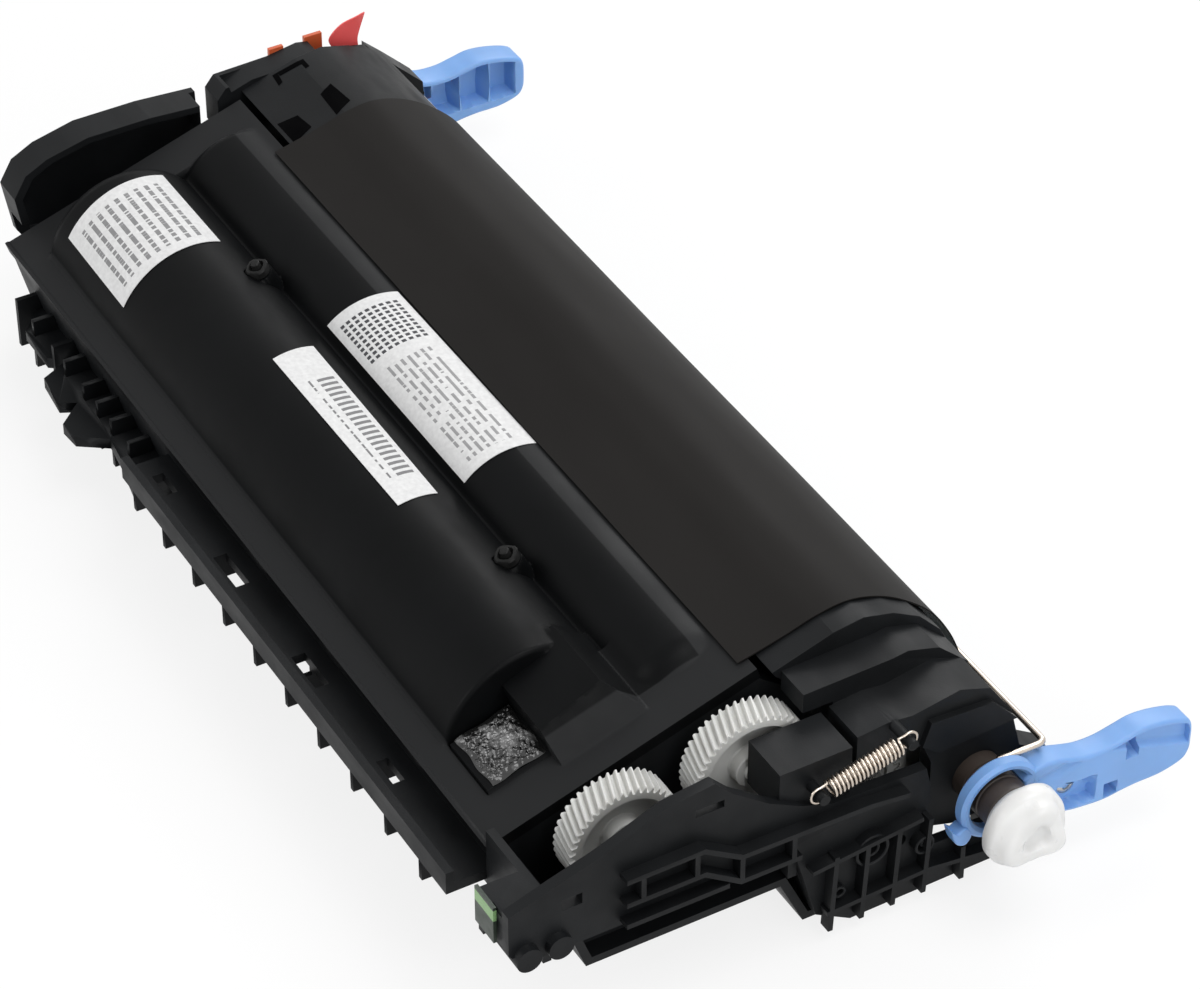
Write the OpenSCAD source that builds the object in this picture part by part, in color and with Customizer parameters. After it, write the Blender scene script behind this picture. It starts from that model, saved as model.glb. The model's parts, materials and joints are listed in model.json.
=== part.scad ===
// Colour laser toner cartridge, lying on its flat underside with the twin-trough hopper facing up.
// +X runs along the length towards the drive end, +Y towards the drum and +Z up.

/* [Overall] */
// Far end of the hopper walls
hopper_x0 = -124; // [-126:0.5:-122]
// Drive end of the hopper walls
hopper_x1 = 126; // [124:0.5:127]
// Slope of the hopper lid against the underside, in degrees
lid_tilt = 17.65; // [17:0.05:18.5]
// Width of the hopper lid along its slope
lid_w = 69.6; // [69:0.1:70]
// Wall thickness of the mouldings
wall = 2.5; // [2:0.1:2.7]

/* [Troughs] */
// Outer radius of the left trough shell
trough_a_r = 21.4; // [21:0.1:22]
// Outer radius of the right trough shell
trough_b_r = 16.5; // [16.2:0.1:17]
// Thickness of the trough shells
shell_t = 1.8; // [1.4:0.1:2]
// Radius swept by the left agitator
sweep_a_r = 18.6; // [15:0.1:18.8]
// Radius swept by the right agitator
sweep_b_r = 12.8; // [10:0.1:13]

/* [Drum and rollers] */
// Radius of the photoconductor drum
drum_r = 12; // [11.5:0.1:12]
// Wall thickness of the drum tube
drum_t = 1; // [0.8:0.1:1.5]
// Radius of the developer roller
developer_r = 8.1; // [7.5:0.1:8.1]
// Radius of the supply roller
supply_r = 6.5; // [6:0.1:6.5]
// Radius of the charge roller
charge_r = 5.9; // [5:0.1:5.9]

/* [Gears] */
// Gear module, the pitch diameter divided by the teeth
gear_module = 0.6; // [0.6:0.1:0.6]
// Teeth of the drum gear
drum_teeth = 42; // [42:1:42]
// Teeth of the developer gear
developer_teeth = 26; // [26:1:26]
// Teeth of the supply gear
supply_teeth = 24; // [24:1:24]
// Teeth of each idler gear
idler_teeth = 20; // [20:1:20]
// Teeth of the right agitator gear
gear_b_teeth = 46; // [46:1:46]
// Teeth of the left agitator gear
gear_a_teeth = 44; // [44:1:44]
// Face width of the gears
face_w = 7.5; // [6:0.1:8]
// Helix angle at the pitch circle, in degrees
helix = 18; // [5:1:22]

/* [Handles and spring] */
// Thickness of each blue handle
handle_t = 8; // [6:0.5:8]
// Wire radius of the tension spring
spring_wire_r = 0.33; // [0.25:0.01:0.36]
// Outer radius of the tension spring's coil
spring_r = 2.3; // [2:0.05:2.4]
// Turns of the tension spring
spring_turns = 18; // [12:1:20]

/* [Hidden] */
$fn = 48;

black = [0.13, 0.135, 0.14];
soft_black = [0.18, 0.18, 0.18];
steel = [0.72, 0.7, 0.66];
white = [0.9, 0.9, 0.88];
blue = [0.45, 0.62, 0.88];

pitch_angle = 20;
addendum = gear_module;
dedendum = 1.25 * gear_module;
flank_play = 0.07;
axis_play = 0.03;
fit = 0.05;
gap = 0.5;
gear_x0 = 130;
gear_x1 = gear_x0 + face_w;
// The lid's drum-side edge stays put, and its left edge follows the width
lid_edge = [19.324, 56.103];
lid_y = lid_edge[0] - lid_w * cos(lid_tilt);
lid_z = lid_edge[1] - lid_w * sin(lid_tilt);
lid_t = 3;
rim_w = 7.5;
rim_end_w = 12;

// Axes of everything that turns, as [y, z]
drum_at = [61.5, 25.4];
trough_a = [-19.5, 33.8];
trough_b = [12, 39.5];
pivot_at = [63.9, 5.5];
developer_at = drum_at + mesh_distance(drum_teeth, developer_teeth) * dir(186.7);
supply_at = developer_at + mesh_distance(developer_teeth, supply_teeth) * dir(219);
idler_a_at = meet(developer_at, mesh_distance(developer_teeth, idler_teeth), trough_b,
    mesh_distance(gear_b_teeth, idler_teeth));
idler_b_at = meet(trough_b, mesh_distance(gear_b_teeth, idler_teeth), trough_a,
    mesh_distance(gear_a_teeth, idler_teeth));
charge_at = drum_at + (drum_r + charge_r + 0.3) * dir(102.5);

// Posts that the tension spring hooks over, and the handle's screw
spring_hook_a = [17.4, 43.8];
spring_hook_b = [39.2, 49.5];
hook_r = 1.3;
wire_at = [75.2, 33];
wire_r = 0.8;
screw_at = [80.5, 19];
screw_r = 1.2;
screw_head_r = 2.4;

// On the lid, as distances along X and up its slope
fill_at = [105, 16];
fill_r = 6;
rivet_x = [-60, 64];
rivet_s = lid_w - 26.4;
rivet_r = 2.8;
rivet_h = 4.5;

// Shaft radii
agitator_shaft_r = 2.5;
developer_shaft_r = 3;
supply_shaft_r = 2.5;
charge_shaft_r = 2.5;
drum_shaft_r = 4;
drum_pin_r = 2.6;
pin_end_r = 3;
coupling_r = 10.6;
idler_pin_r = 1.5;
pivot_pin_r = 2.5;

function dir(a) = [cos(a), sin(a)];
function mesh_distance(n, k) = gear_module * (n + k) / 2 + axis_play;
function angle_to(p, q) = atan2(q[1] - p[1], q[0] - p[0]);
// The point at distance r from p and s from q, on the left of the line from p to q
function meet(p, r, q, s) =
    let (d = norm(q - p), a = acos((r * r + d * d - s * s) / (2 * r * d)))
    p + r * dir(angle_to(p, q) + a);
// Phase of a gear of k teeth at q that meshes with one of n teeth at p and phase f
function meshed(p, n, f, q, k) =
    angle_to(q, p) - (f - angle_to(p, q)) * n / k + 180 / k;
function involute(a) = tan(a) * 180 / PI - a;
// Half the angle of a tooth of an n-tooth gear at radius r
function half_tooth(n, r) =
    let (rp = gear_module * n / 2, rb = rp * cos(pitch_angle), ra = max(r, rb))
    90 / n + involute(pitch_angle) - involute(acos(rb / ra)) - flank_play * 180 / PI / rp;
// How far a point lies off the lid's surface
function lid_height(p) = (p[1] - lid_z) * cos(lid_tilt) - (p[0] - lid_y) * sin(lid_tilt);
// A point of the lid's slope: s up the slope, h off its surface
function lid_point(s, h) = [lid_y + s * cos(lid_tilt) - h * sin(lid_tilt),
    lid_z + s * sin(lid_tilt) + h * cos(lid_tilt)];

drum_phase = angle_to(drum_at, developer_at);
developer_phase = meshed(drum_at, drum_teeth, drum_phase, developer_at, developer_teeth);
supply_phase = meshed(developer_at, developer_teeth, developer_phase, supply_at, supply_teeth);
idler_a_phase = meshed(developer_at, developer_teeth, developer_phase, idler_a_at, idler_teeth);
gear_b_phase = meshed(idler_a_at, idler_teeth, idler_a_phase, trough_b, gear_b_teeth);
idler_b_phase = meshed(trough_b, gear_b_teeth, gear_b_phase, idler_b_at, idler_teeth);
gear_a_phase = meshed(idler_b_at, idler_teeth, idler_b_phase, trough_a, gear_a_teeth);

// Sections in the Y-Z plane
hopper_outline = concat([lid_point(0.6, -lid_t), [-40, 10], [-34, 0], [46, 0], [50, 8], [50, 11],
    [37, 36.5], [30.5, 38.5], [30.5, 45]], [lid_point(lid_w - 0.4, -lid_t)]);
hopper_cavity = concat([lid_point(4, -1), [-37.6, 11], [-32.4, 2.5], [17.5, 2.5], [17.5, 24.5],
    [28, 37.3], [28, 44]], [lid_point(lid_w - 4, -1)]);
developer_cavity = [[20, 2.5], [44.5, 2.5], [47.5, 8.5], [47.5, 14], [60, 14], [60, 34.5],
    [36, 34.5], [30.5, 36], [20, 23.3]];
bin_outline = [[31.5, 40], [31.5, 45.9], [22, 55], [21.2, 56.4], [28.7, 58.8], [36.4, 61.2],
    [44.1, 62.2], [51.8, 60.2], [58.8, 56.2], [64.5, 50], [67.5, 44], [66, 43.4], [62.5, 49],
    [57, 53.5], [52, 51], [50, 44], [51, 40.5], [47, 39.3]];
bin_cavity = [[34, 41.8], [34, 47], [25.6, 55.3], [29.4, 56.5], [36.9, 58.8], [44, 59.6],
    [50.8, 57.9], [52.5, 54.6], [49.6, 51.5], [47.4, 44], [48, 41.8]];
cheek_outline = [[50.8, 46], [50.8, 30], [58, 1.5], [69, 1.5], [71, 20], [72, 34], [64, 46]];
sheet_line = [trough_b + (trough_b_r + 0.5) * dir(73.9),
    trough_b + max(trough_b_r + 0.5, 19.59) * dir(62.65), [28.7, 59], [36.4, 61.39], [44.1, 62.39],
    [51.9, 60.37], [58.93, 56.34], [66, 50], [71, 42], [74.2, 33.8]];
cover_outline = [[-53, 27], [-56.5, 31], [-56.5, 42], [-46, 45.5], [-34.3, 49.1], [-19.4, 55.3],
    [-7.4, 56.8], [-3, 52], [6, 45], [14, 40.5], [22, 37.5], [46, 36.5], [47.5, 30], [47.5, 13],
    [66, 12], [66, 1], [28, 0.5], [19, 6], [13, 27]];
wing_outline = [[-39.6, 30], [-41.9, 44.2], [-38.4, 50], [-32.4, 53.1], [-21, 55.8], [-3.9, 55.9],
    [11.8, 54.8], [12.2, 43.5], [12.2, 14], [-30, 14]];
wing_middle = [-14, 33];
handle_outline = [[66, 32], [71.8, 36.3], [79.9, 33.8], [88.9, 36.2], [94.2, 36.1], [112.8, 27.2],
    [112.3, 15.6], [104.5, 13.3], [95, 13.2], [89.8, 11.6], [81.6, 13.2], [70, 19]];

screw_lug = [[68, 14], [80.8, 15.2], [84.2, 18.6], [81.5, 22.9], [73, 28.5], [68, 28.5]];

// Lays a flat shape out in the Y-Z plane and runs it along X
module along(x0, x1) {
    translate([x0, 0, 0])
        rotate([90, 0, 90])
            linear_extrude(x1 - x0)
                children();
}

module rod(x0, x1, at, r) {
    along(x0, x1)
        translate(at)
            circle(r);
}

module ring(x0, x1, at, outer, inner) {
    along(x0, x1)
        translate(at)
            difference() {
                circle(outer);
                circle(inner);
            }
}

module box(x, y, z) {
    translate([x[0], y[0], z[0]])
        cube([x[1] - x[0], y[1] - y[0], z[1] - z[0]]);
}

// Works in the lid's own frame: X along it, Y up its slope and Z off its surface
module on_lid() {
    translate([0, lid_y, lid_z])
        rotate([lid_tilt, 0, 0])
            children();
}

// A strip of even thickness along a line of points, mitred at its corners
module strip(points, t) {
    last = len(points) - 1;
    ways = [for (i = [0:last - 1]) (points[i + 1] - points[i]) / norm(points[i + 1] - points[i])];
    mitres = [for (i = [0:last])
        let (a = ways[max(i - 1, 0)], b = ways[min(i, last - 1)], m = (a + b) / norm(a + b))
        [-m[1], m[0]] * t / 2 / (a * m)];
    polygon(concat([for (i = [0:last]) points[i] + mitres[i]],
        [for (i = [last:-1:0]) points[i] - mitres[i]]));
}

// A wedge that keeps the part of a circle between two angles
module wedge(r, a0, a1) {
    polygon([[0, 0], r * dir(a0), r * dir((a0 + a1) / 2) * 1.2, r * dir(a1)]);
}

module gear_outline(n) {
    tip = gear_module * n / 2 + addendum;
    root = gear_module * n / 2 - dedendum;
    at_tip = half_tooth(n, tip);
    at_root = half_tooth(n, root);
    polygon([for (i = [0:n - 1], k = [0:3])
        let (side = k < 2 ? -1 : 1, low = k == 0 || k == 3)
        (low ? root : tip) * dir(i * 360 / n + side * (low ? at_root : at_tip))]);
}

// A helical gear with a recessed web; the hand is 1 or -1
module gear(at, n, phase, hand, bore, hub) {
    root = gear_module * n / 2 - dedendum;
    turn = hand * face_w * tan(helix) / (gear_module * n / 2) * 180 / PI;
    difference() {
        translate([gear_x0, at[0], at[1]])
            rotate([90, 0, 90])
                rotate(phase)
                    linear_extrude(face_w, twist = -turn, slices = 4)
                        gear_outline(n);
        rod(gear_x0 - 1, gear_x1 + 1, at, bore);
        if (root - 1.6 > hub + 0.8)
            ring(gear_x0 + 4.5, gear_x1 + 1, at, root - 1.6, hub);
    }
}

module hopper_frame() {
    color(black)
        difference() {
            union() {
                along(hopper_x0, hopper_x1)
                    polygon(hopper_outline);
                for (x = [hopper_x0, hopper_x1 - wall]) {
                    rod(x, x + wall, developer_at, 6.4);
                    along(x, x + wall)
                        polygon([[44, 0], [69, 0.5], [69, 8], [64, 10.5], [48, 10.5]]);
                }
                hopper_flange();
            }
            along(hopper_x0 + wall, hopper_x1 - wall) {
                polygon(hopper_cavity);
                polygon(developer_cavity);
            }
            // Toner outlet through the partition
            box([-104, 104], [16, 21], [5, 12]);
            for (x = [hopper_x0 - 1, hopper_x1 - wall - 1]) {
                rod(x, x + wall + 2, trough_a, agitator_shaft_r + fit);
                rod(x, x + wall + 2, trough_b, agitator_shaft_r + fit);
                rod(x, x + wall + 2, developer_at, 5);
                rod(x, x + wall + 2, supply_at, supply_shaft_r + fit);
                rod(x, x + wall + 2, pivot_at, pivot_pin_r);
            }
            for (at = [idler_a_at, idler_b_at])
                rod(hopper_x1 - wall - 1, hopper_x1 + 1, at, idler_pin_r);
        }
}

// The grip flange along the left side, with its through slots and the stepped far end
module hopper_flange() {
    translate([0, lid_y, lid_z]) {
        difference() {
            union() {
                box([-36, 125.5], [-9.5, 7], [-9.5, -7]);
                box([-36, 125.5], [-9.5, -7.5], [-9.5, -3.5]);
                for (x = [-34:16:124])
                    box([x, x + 1.4], [-8, 5], [-18, -8]);
            }
            for (x = [-30, 84])
                box([x, x + 8], [-4.5, -1.6], [-11, -5]);
            for (x = [4, 44])
                box([x, x + 12], [-5, -1.6], [-11, -5]);
        }
        translate([0, 0, -18.5])
            linear_extrude(3)
                polygon([[-117, 11], [-117, 5], [-108, -3], [-95, -3], [-92, 1], [-88, -7],
                    [-77, -8], [-75, -4], [-69, -10.5], [-63, -10], [-58, -3], [-50, -4],
                    [-34, -7], [-34, 11]]);
        for (x = [-116, -106, -94, -87, -76, -68, -60, -50])
            box([x, x + 1.4], [-2, 7], [-25, -11]);
    }
}

module hopper_lid() {
    color(black)
        difference() {
            lid_moulding();
            on_lid() {
                translate([fill_at[0], fill_at[1], -lid_t - 1])
                    cylinder(h = lid_t + 6, r = fill_r);
                for (x = rivet_x)
                    translate([x, rivet_s, rivet_h])
                        cylinder(h = 8, r = rivet_r);
            }
        }
}

module lid_moulding() {
    difference() {
        union() {
            on_lid()
                difference() {
                    box([hopper_x0, hopper_x1], [0, lid_w], [-lid_t, 0]);
                    box([hopper_x0 + rim_end_w, hopper_x1 - rim_end_w], [rim_w, lid_w - rim_w],
                        [-lid_t + 1.4, 1]);
                }
            rod(-114, 96, trough_a, trough_a_r);
            trough_b_form();
            right_block();
            lid_details();
        }
        rod(-111.3, 94, trough_a, trough_a_r - shell_t);
        rod(-111.3, 107, trough_b, trough_b_r - shell_t);
        on_lid()
            box([-130, 130], [-30, 100], [-60, -lid_t]);
    }
}

// Ribs between the rim and the left trough, the fill opening's seat and the rivets' bosses
module lid_details() {
    on_lid() {
        for (x = [-100:26:82])
            box([x, x + 1.2], [rim_w - 0.5, rim_w + 3], [-lid_t - 0.5, -0.3]);
        box([97, 115], [rim_w - 0.5, 24], [-lid_t - 0.5, 1.2]);
        for (x = rivet_x)
            translate([x, rivet_s, -lid_t - 0.5])
                cylinder(h = rivet_h + lid_t + 0.5, r = rivet_r + 0.7);
    }
}

// The right trough's outside, rounded off at the drive end
module trough_b_form() {
    round_r = 9;
    x1 = 117;
    rod(-114, x1 - round_r, trough_b, trough_b_r);
    translate([x1 - round_r, trough_b[0], trough_b[1]])
        rotate([0, 90, 0])
            rotate_extrude()
                intersection() {
                    translate([trough_b_r - round_r, 0])
                        circle(round_r);
                    square([trough_b_r, round_r]);
                }
}

// The flat block past the left trough's end, and the wall of the fill recess
module right_block() {
    on_lid()
        difference() {
            translate([95, 0, 0])
                rotate([90, 0, 90])
                    linear_extrude(23)
                        polygon([[23.5, -2], [23.5, 6.8], [26, 7.6], [40, 8.2], [44, 2], [48, -2]]);
            translate([119, 24, 9])
                rotate([0, 50, 0])
                    cube([9, 56, 20], center = true);
        }
}

module lid_rivets() {
    color(soft_black)
        on_lid()
            for (x = rivet_x)
                translate([x, rivet_s, rivet_h]) {
                    cylinder(h = 2.6, r = rivet_r);
                    cylinder(h = 3.6, r = rivet_r / 2);
                }
}

module toner_seal() {
    color("ivory")
        box([-108, 108], [16.9, 17.5], [3.2, 14]);
}

module pull_tab() {
    color([0.86, 0.16, 0.18])
        translate([-133.4, 0, 0])
            rotate([90, 0, 90])
                linear_extrude(0.8)
                    polygon([[44, 58], [60, 68], [58.5, 52.1], [50, 52.1]]);
}

module fill_plug() {
    color(soft_black)
        on_lid()
            translate([fill_at[0], fill_at[1], -lid_t])
                cylinder(h = lid_t + 1.2, r = fill_r);
}

module seal_tape() {
    color([0.6, 0.62, 0.62, 0.6])
        on_lid()
            box([97, 114], [9, 23], [1.2, 1.6]);
}

// A paper label wrapped on a trough, between two angles about its axis
module trough_label(x0, x1, at, r, a0, a1) {
    along(x0, x1)
        translate(at)
            intersection() {
                difference() {
                    circle(r + 0.22, $fn = 96);
                    circle(r + 0.02, $fn = 96);
                }
                wedge(2 * r, a0, a1);
            }
}

module label_left() {
    color(white)
        trough_label(-103, -70, trough_a, trough_a_r, lid_tilt + 51, lid_tilt + 134);
}

module label_centre() {
    // As wide as the trough's arc above the lid, less a margin
    label_half = acos(-lid_height(trough_b) / trough_b_r) - 4.5;
    color(white)
        trough_label(-33, 36, trough_b, trough_b_r, lid_tilt + 90 - label_half,
            lid_tilt + 90 + label_half);
}

module label_bars() {
    color(white)
        trough_label(-26, 37.5, trough_a, trough_a_r, lid_tilt + 48, lid_tilt + 76);
}

// A shaft with flat arms that carry a thin stirring sheet as far as x1
module agitator(at, sweep, x1) {
    rod(hopper_x0 + 0.5, gear_x1 + 1, at, agitator_shaft_r);
    along(-110.5, x1)
        translate(at)
            polygon([[-1, 0], [-0.6, 0], [-0.6, -sweep], [-1, -sweep]]);
    for (x = [-110, -60, -8, 44, x1 - 4])
        along(x, x + 3)
            translate(at)
                polygon([[-1.8, 0], [1.8, 0], [0.6, -sweep + 2], [-0.6, -sweep + 2]]);
}

module agitator_a() {
    color(white)
        agitator(trough_a, sweep_a_r, 92);
}

module agitator_b() {
    color(white)
        agitator(trough_b, sweep_b_r, 105);
}

module agitator_gear_a() {
    color(white)
        gear(trough_a, gear_a_teeth, gear_a_phase, 1, agitator_shaft_r, 4.5);
}

module agitator_gear_b() {
    color(white)
        gear(trough_b, gear_b_teeth, gear_b_phase, 1, agitator_shaft_r, 4.5);
}

module idler_gear_a() {
    color(white)
        gear(idler_a_at, idler_teeth, idler_a_phase, -1, idler_pin_r + fit, 3);
}

module idler_gear_b() {
    color(white)
        gear(idler_b_at, idler_teeth, idler_b_phase, -1, idler_pin_r + fit, 3);
}

module gear_pins() {
    color(steel)
        for (at = [idler_a_at, idler_b_at]) {
            rod(hopper_x1 - wall, gear_x1 + 1.5, at, idler_pin_r);
            rod(hopper_x1, gear_x0 - gap, at, 2.6);
        }
}

module developer_shaft() {
    color(steel)
        rod(hopper_x0 + 0.5, gear_x1 + 1, developer_at, developer_shaft_r);
}

module developer_roller() {
    color(soft_black)
        ring(-114, 114, developer_at, developer_r, developer_shaft_r);
}

module developer_gear() {
    color(white)
        gear(developer_at, developer_teeth, developer_phase, 1, developer_shaft_r, 4.6);
}

module developer_bearings() {
    color(white)
        for (x = [hopper_x0, hopper_x1 - wall])
            ring(x, x + wall, developer_at, 5, developer_shaft_r + fit);
}

module supply_shaft() {
    color(steel)
        rod(hopper_x0 + 0.5, gear_x1 + 1, supply_at, supply_shaft_r);
}

module supply_roller() {
    color([0.3, 0.3, 0.3])
        ring(-110, 110, supply_at, supply_r, supply_shaft_r);
}

module supply_gear() {
    color(white)
        gear(supply_at, supply_teeth, supply_phase, -1, supply_shaft_r, 4);
}

// The metering blade, screwed under the roof's front edge and bearing down towards the roller
module doctor_blade() {
    color(steel)
        along(-116, 116)
            polygon([[30.8, 38.55], [36.8, 36.71], [37.5, 36.3], [39.85, 31.4], [40.55, 31.7],
                [38.3, 37.1], [31, 39.2]]);
}

module memory_chip() {
    color([0.35, 0.55, 0.3])
        box([140, 148], [-57.3, -56.5], [31, 41]);
}

module drive_side_cover() {
    color(black)
        union() {
            difference() {
                union() {
                    along(150.3, 153)
                        polygon(cover_outline);
                    along(146, 150.4)
                        cover_skirt();
                    cover_gear_floor();
                    cover_box();
                }
                along(149, 154) {
                    translate([-44, 38])
                        square([5, 3]);
                    translate([-12, 49.3])
                        square([7, 2]);
                    for (y = [33, 40])
                        translate([y, 18])
                            circle(1.6);
                }
            }
            cover_ribs();
            rod(151, 157.2, spring_hook_a, hook_r);
            for (at = [[-52.6, 29.5], [-45, 29.5]])
                rod(140, 155, at, 3);
        }
}

// The edge wall along the cover's lower sides
module cover_skirt() {
    strip([[13.5, 26], [-52, 28.2], [-55.3, 31.5], [-55.3, 41]], 2);
    strip([[14, 26], [20, 6.8], [28.5, 1.6], [64.6, 2.2], [64.6, 10.8]], 2);
}

// The tray under the gears, from the hopper's wall out to the cover
module cover_gear_floor() {
    along(hopper_x1, 150.4) {
        strip([[-40, 28], [-36, 17], [12, 17], [18, 4], [46, 4], [49, 7]], 2);
    }
    along(143.5, 146)
        polygon([[-40, 28], [-36, 17], [12, 17], [14, 26], [-40, 30]]);
    box([hopper_x1, 150.4], [-47, -45], [22, 40]);
    box([140, 150.4], [-56.5, -45], [38, 40]);
    box([140, 142], [-56.5, -45], [28, 40]);
}

// The closed box in front of the right agitator gear
module cover_box() {
    difference() {
        box([138.8, 151.5], [9.5, 27.5], [38, 50]);
        box([140.6, 149], [11.3, 25.7], [37, 48.2]);
    }
    box([144, 151.5], [12.4, 14.6], [18.7, 39]);
    box([144, 151.5], [24, 26], [30, 39]);
}

// Guide ribs on the outer face, stepping down towards the drum
module cover_ribs() {
    along(152.9, 156) {
        strip([[-30, 41.6], [-11.3, 41.8], [-2, 35.7], [30, 35.3], [40, 34]], 1.3);
        strip([[-30, 35], [-11, 35], [-1.9, 28.6], [13, 28.6]], 1.3);
        strip([[-30, 28.9], [-5, 28.9]], 1.3);
        for (y = [-26, -13])
            strip([[y, 35], [y, 41.4]], 1.2);
        for (y = [-1.9, 11])
            strip([[y, 28.6], [y, 35.2]], 1.2);
        strip([[16, 22], [44, 25]], 1.2);
        strip([[20, 8], [46, 9], [64, 6.5]], 1.2);
        for (y = [21, 29, 37, 45])
            strip([[y, 2.6], [y + 1, 24]], 1.2);
        strip([[55, 2], [55, 11.6]], 1.2);
    }
}

module idle_side_cover() {
    color(black)
        union() {
            along(-137, -134.8)
                polygon(wing_outline);
            along(-137, -128)
                intersection() {
                    difference() {
                        polygon(wing_outline);
                        polygon([for (p = wing_outline) wing_middle + 0.92 * (p - wing_middle)]);
                    }
                    translate([-44, 36])
                        square([54, 22]);
                }
            for (y = [-36, -12, 10])
                box([-136, hopper_x0], [y, y + 2], [16, 30]);
            box([-136, hopper_x0], [-36, 12], [14, 16]);
            along(-135, -133.2)
                strip([[-37, 45], [-30, 49.5], [-18, 51]], 1.4);
        }
}

// A tube of wire through a list of points, as one closed surface; sides face across refs
module sweep_wire(points, refs, r, sides) {
    n = len(points);
    rings = [for (i = [0:n - 1])
        let (a = points[max(i - 1, 0)], b = points[min(i + 1, n - 1)], t = (b - a) / norm(b - a),
            u0 = cross(t, refs[i]), u = u0 / norm(u0), v = cross(t, u))
        for (k = [0:sides - 1])
            points[i] + r * (cos(360 * k / sides) * u + sin(360 * k / sides) * v)];
    faces = concat(
        [[for (k = [0:sides - 1]) k]],
        [for (i = [0:n - 2], k = [0:sides - 1])
            let (a = i * sides, k1 = (k + 1) % sides)
            [a + k, a + sides + k, a + sides + k1, a + k1]],
        [[for (k = [sides - 1:-1:0]) (n - 1) * sides + k]]);
    polyhedron(rings, faces);
}

// One wire: a loop around each post, and the close coil between them
module tension_spring() {
    x = 155;
    loop_r = 1.95;
    seat = loop_r - spring_wire_r - hook_r - 0.03;
    unit = (spring_hook_b - spring_hook_a) / norm(spring_hook_b - spring_hook_a);
    side = [-unit[1], unit[0]];
    start = loop_r + 0.6 - seat;
    coil = norm(spring_hook_b - spring_hook_a) - 2 * start;
    mean_r = spring_r - spring_wire_r;
    steps = 10 * spring_turns;
    loop_a = [for (a = [330:-20:70])
        let (p = spring_hook_a - unit * seat + loop_r * (cos(a) * unit + sin(a) * side))
        [x, p[0], p[1]]];
    turns = [for (i = [0:steps])
        let (a = 90 + 36 * i, p = spring_hook_a + unit * (start + coil * i / steps)
            + side * mean_r * sin(a))
        [x + mean_r * cos(a), p[0], p[1]]];
    loop_b = [for (a = [110:-20:-150])
        let (p = spring_hook_b + unit * seat + loop_r * (cos(a) * unit + sin(a) * side))
        [x, p[0], p[1]]];
    refs = concat([for (p = loop_a) [1, 0, 0]], [for (p = turns) [0, unit[0], unit[1]]],
        [for (p = loop_b) [1, 0, 0]]);
    color(steel)
        sweep_wire(concat(loop_a, turns, loop_b), refs, spring_wire_r, 6);
}

module pivot_pins() {
    color(steel) {
        rod(hopper_x0 - 5, hopper_x0 + wall, pivot_at, pivot_pin_r);
        rod(hopper_x1 - wall, hopper_x1 + 5, pivot_at, pivot_pin_r);
    }
}

module cleaner_frame() {
    color(black)
        difference() {
            union() {
                along(-127, 129)
                    polygon(bin_outline);
                for (x = [-127, hopper_x1 + gap])
                    along(x, x + wall)
                        polygon(cheek_outline);
            }
            along(-124, 126)
                polygon(bin_cavity);
            for (x = [-128, hopper_x1])
                rod(x, x + wall + 2, pivot_at, pivot_pin_r + fit);
            rod(-128, -124, drum_at, drum_pin_r);
            rod(hopper_x1, 130, drum_at, 5 + fit);
        }
}

module drive_end_frame() {
    color(black)
        difference() {
            union() {
                along(129, 138)
                    polygon([[23.5, 50.8], [31, 50.8], [32, 44], [50, 43], [62, 44], [66, 47],
                        [58, 54.5], [50, 57], [46, 56.5], [23.5, 56]]);
                along(138, 149.5)
                    polygon([[30, 42], [47, 40], [49.5, 34], [49.5, 15], [56, 12.9], [67, 12.9],
                        [72, 18], [73.5, 26], [70, 40], [64, 49], [56, 52], [44, 50], [38, 50.8],
                        [30, 50]]);
                along(149.4, 151)
                    polygon([[46, 41], [50.5, 37.5], [70.6, 38.6], [64, 46], [48, 47]]);
                along(143, 149.5)
                    polygon(screw_lug);
                rod(149, 157.2, spring_hook_b, hook_r);
            }
            rod(137, 150, drum_at, 6);
            rod(145, 150, screw_at, screw_r);
            box([137, 145], [33, 60], [15, 38]);
        }
}

module idle_end_frame() {
    color(black)
        difference() {
            union() {
                along(-134.5, -127)
                    polygon([[14.5, 46], [14.5, 55.5], [17, 58.5], [32, 59], [40.5, 60.4],
                        [50, 58.5], [57, 57], [64.6, 50], [72.8, 42], [73.5, 24], [66, 13],
                        [54, 13], [50.8, 30], [50.8, 40], [32, 40], [31.5, 46]]);
                along(-143.9, -134.5)
                    polygon([[52, 36], [66, 40], [74, 38], [77, 33], [76, 28], [74, 17], [60, 15],
                        [52, 22]]);
                along(-143.9, -136)
                    polygon(screw_lug);
            }
            rod(-144, -126, drum_at, drum_pin_r);
            on_lid() {
                box([-133, -126], [69, 76], [1, 12]);
                box([-131, -126], [84, 93], [1, 12]);
            }
            box([-135, -130], [43.8, 59.2], [52, 62]);
            rod(-137.2, -134, wire_at, wire_r);
            rod(-144, -138, screw_at, screw_r);
        }
}

module light_shield_sheet() {
    color([0.17, 0.16, 0.155])
        along(-99, 124)
            strip(sheet_line, 0.35);
}

module shield_wire() {
    color(steel) {
        rod(-137.2, 151.6, wire_at, wire_r);
        along(150.2, 151.8)
            strip([wire_at, [72.5, 36.9]], 2 * wire_r);
    }
}

module drum_tube() {
    color([0.25, 0.55, 0.6])
        ring(-118, 122, drum_at, drum_r, drum_r - drum_t);
}

// The drive flange: a plug in the tube, the neck in the cheek, the gear and the shaft
module drum_gear() {
    color(white) {
        rod(113, 122, drum_at, drum_r - drum_t);
        rod(122, 123.6, drum_at, drum_r);
        rod(123.6, gear_x0, drum_at, 5);
        gear(drum_at, drum_teeth, drum_phase, -1, drum_shaft_r, 5);
        rod(gear_x0 - 1, 170, drum_at, drum_shaft_r);
    }
}

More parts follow.
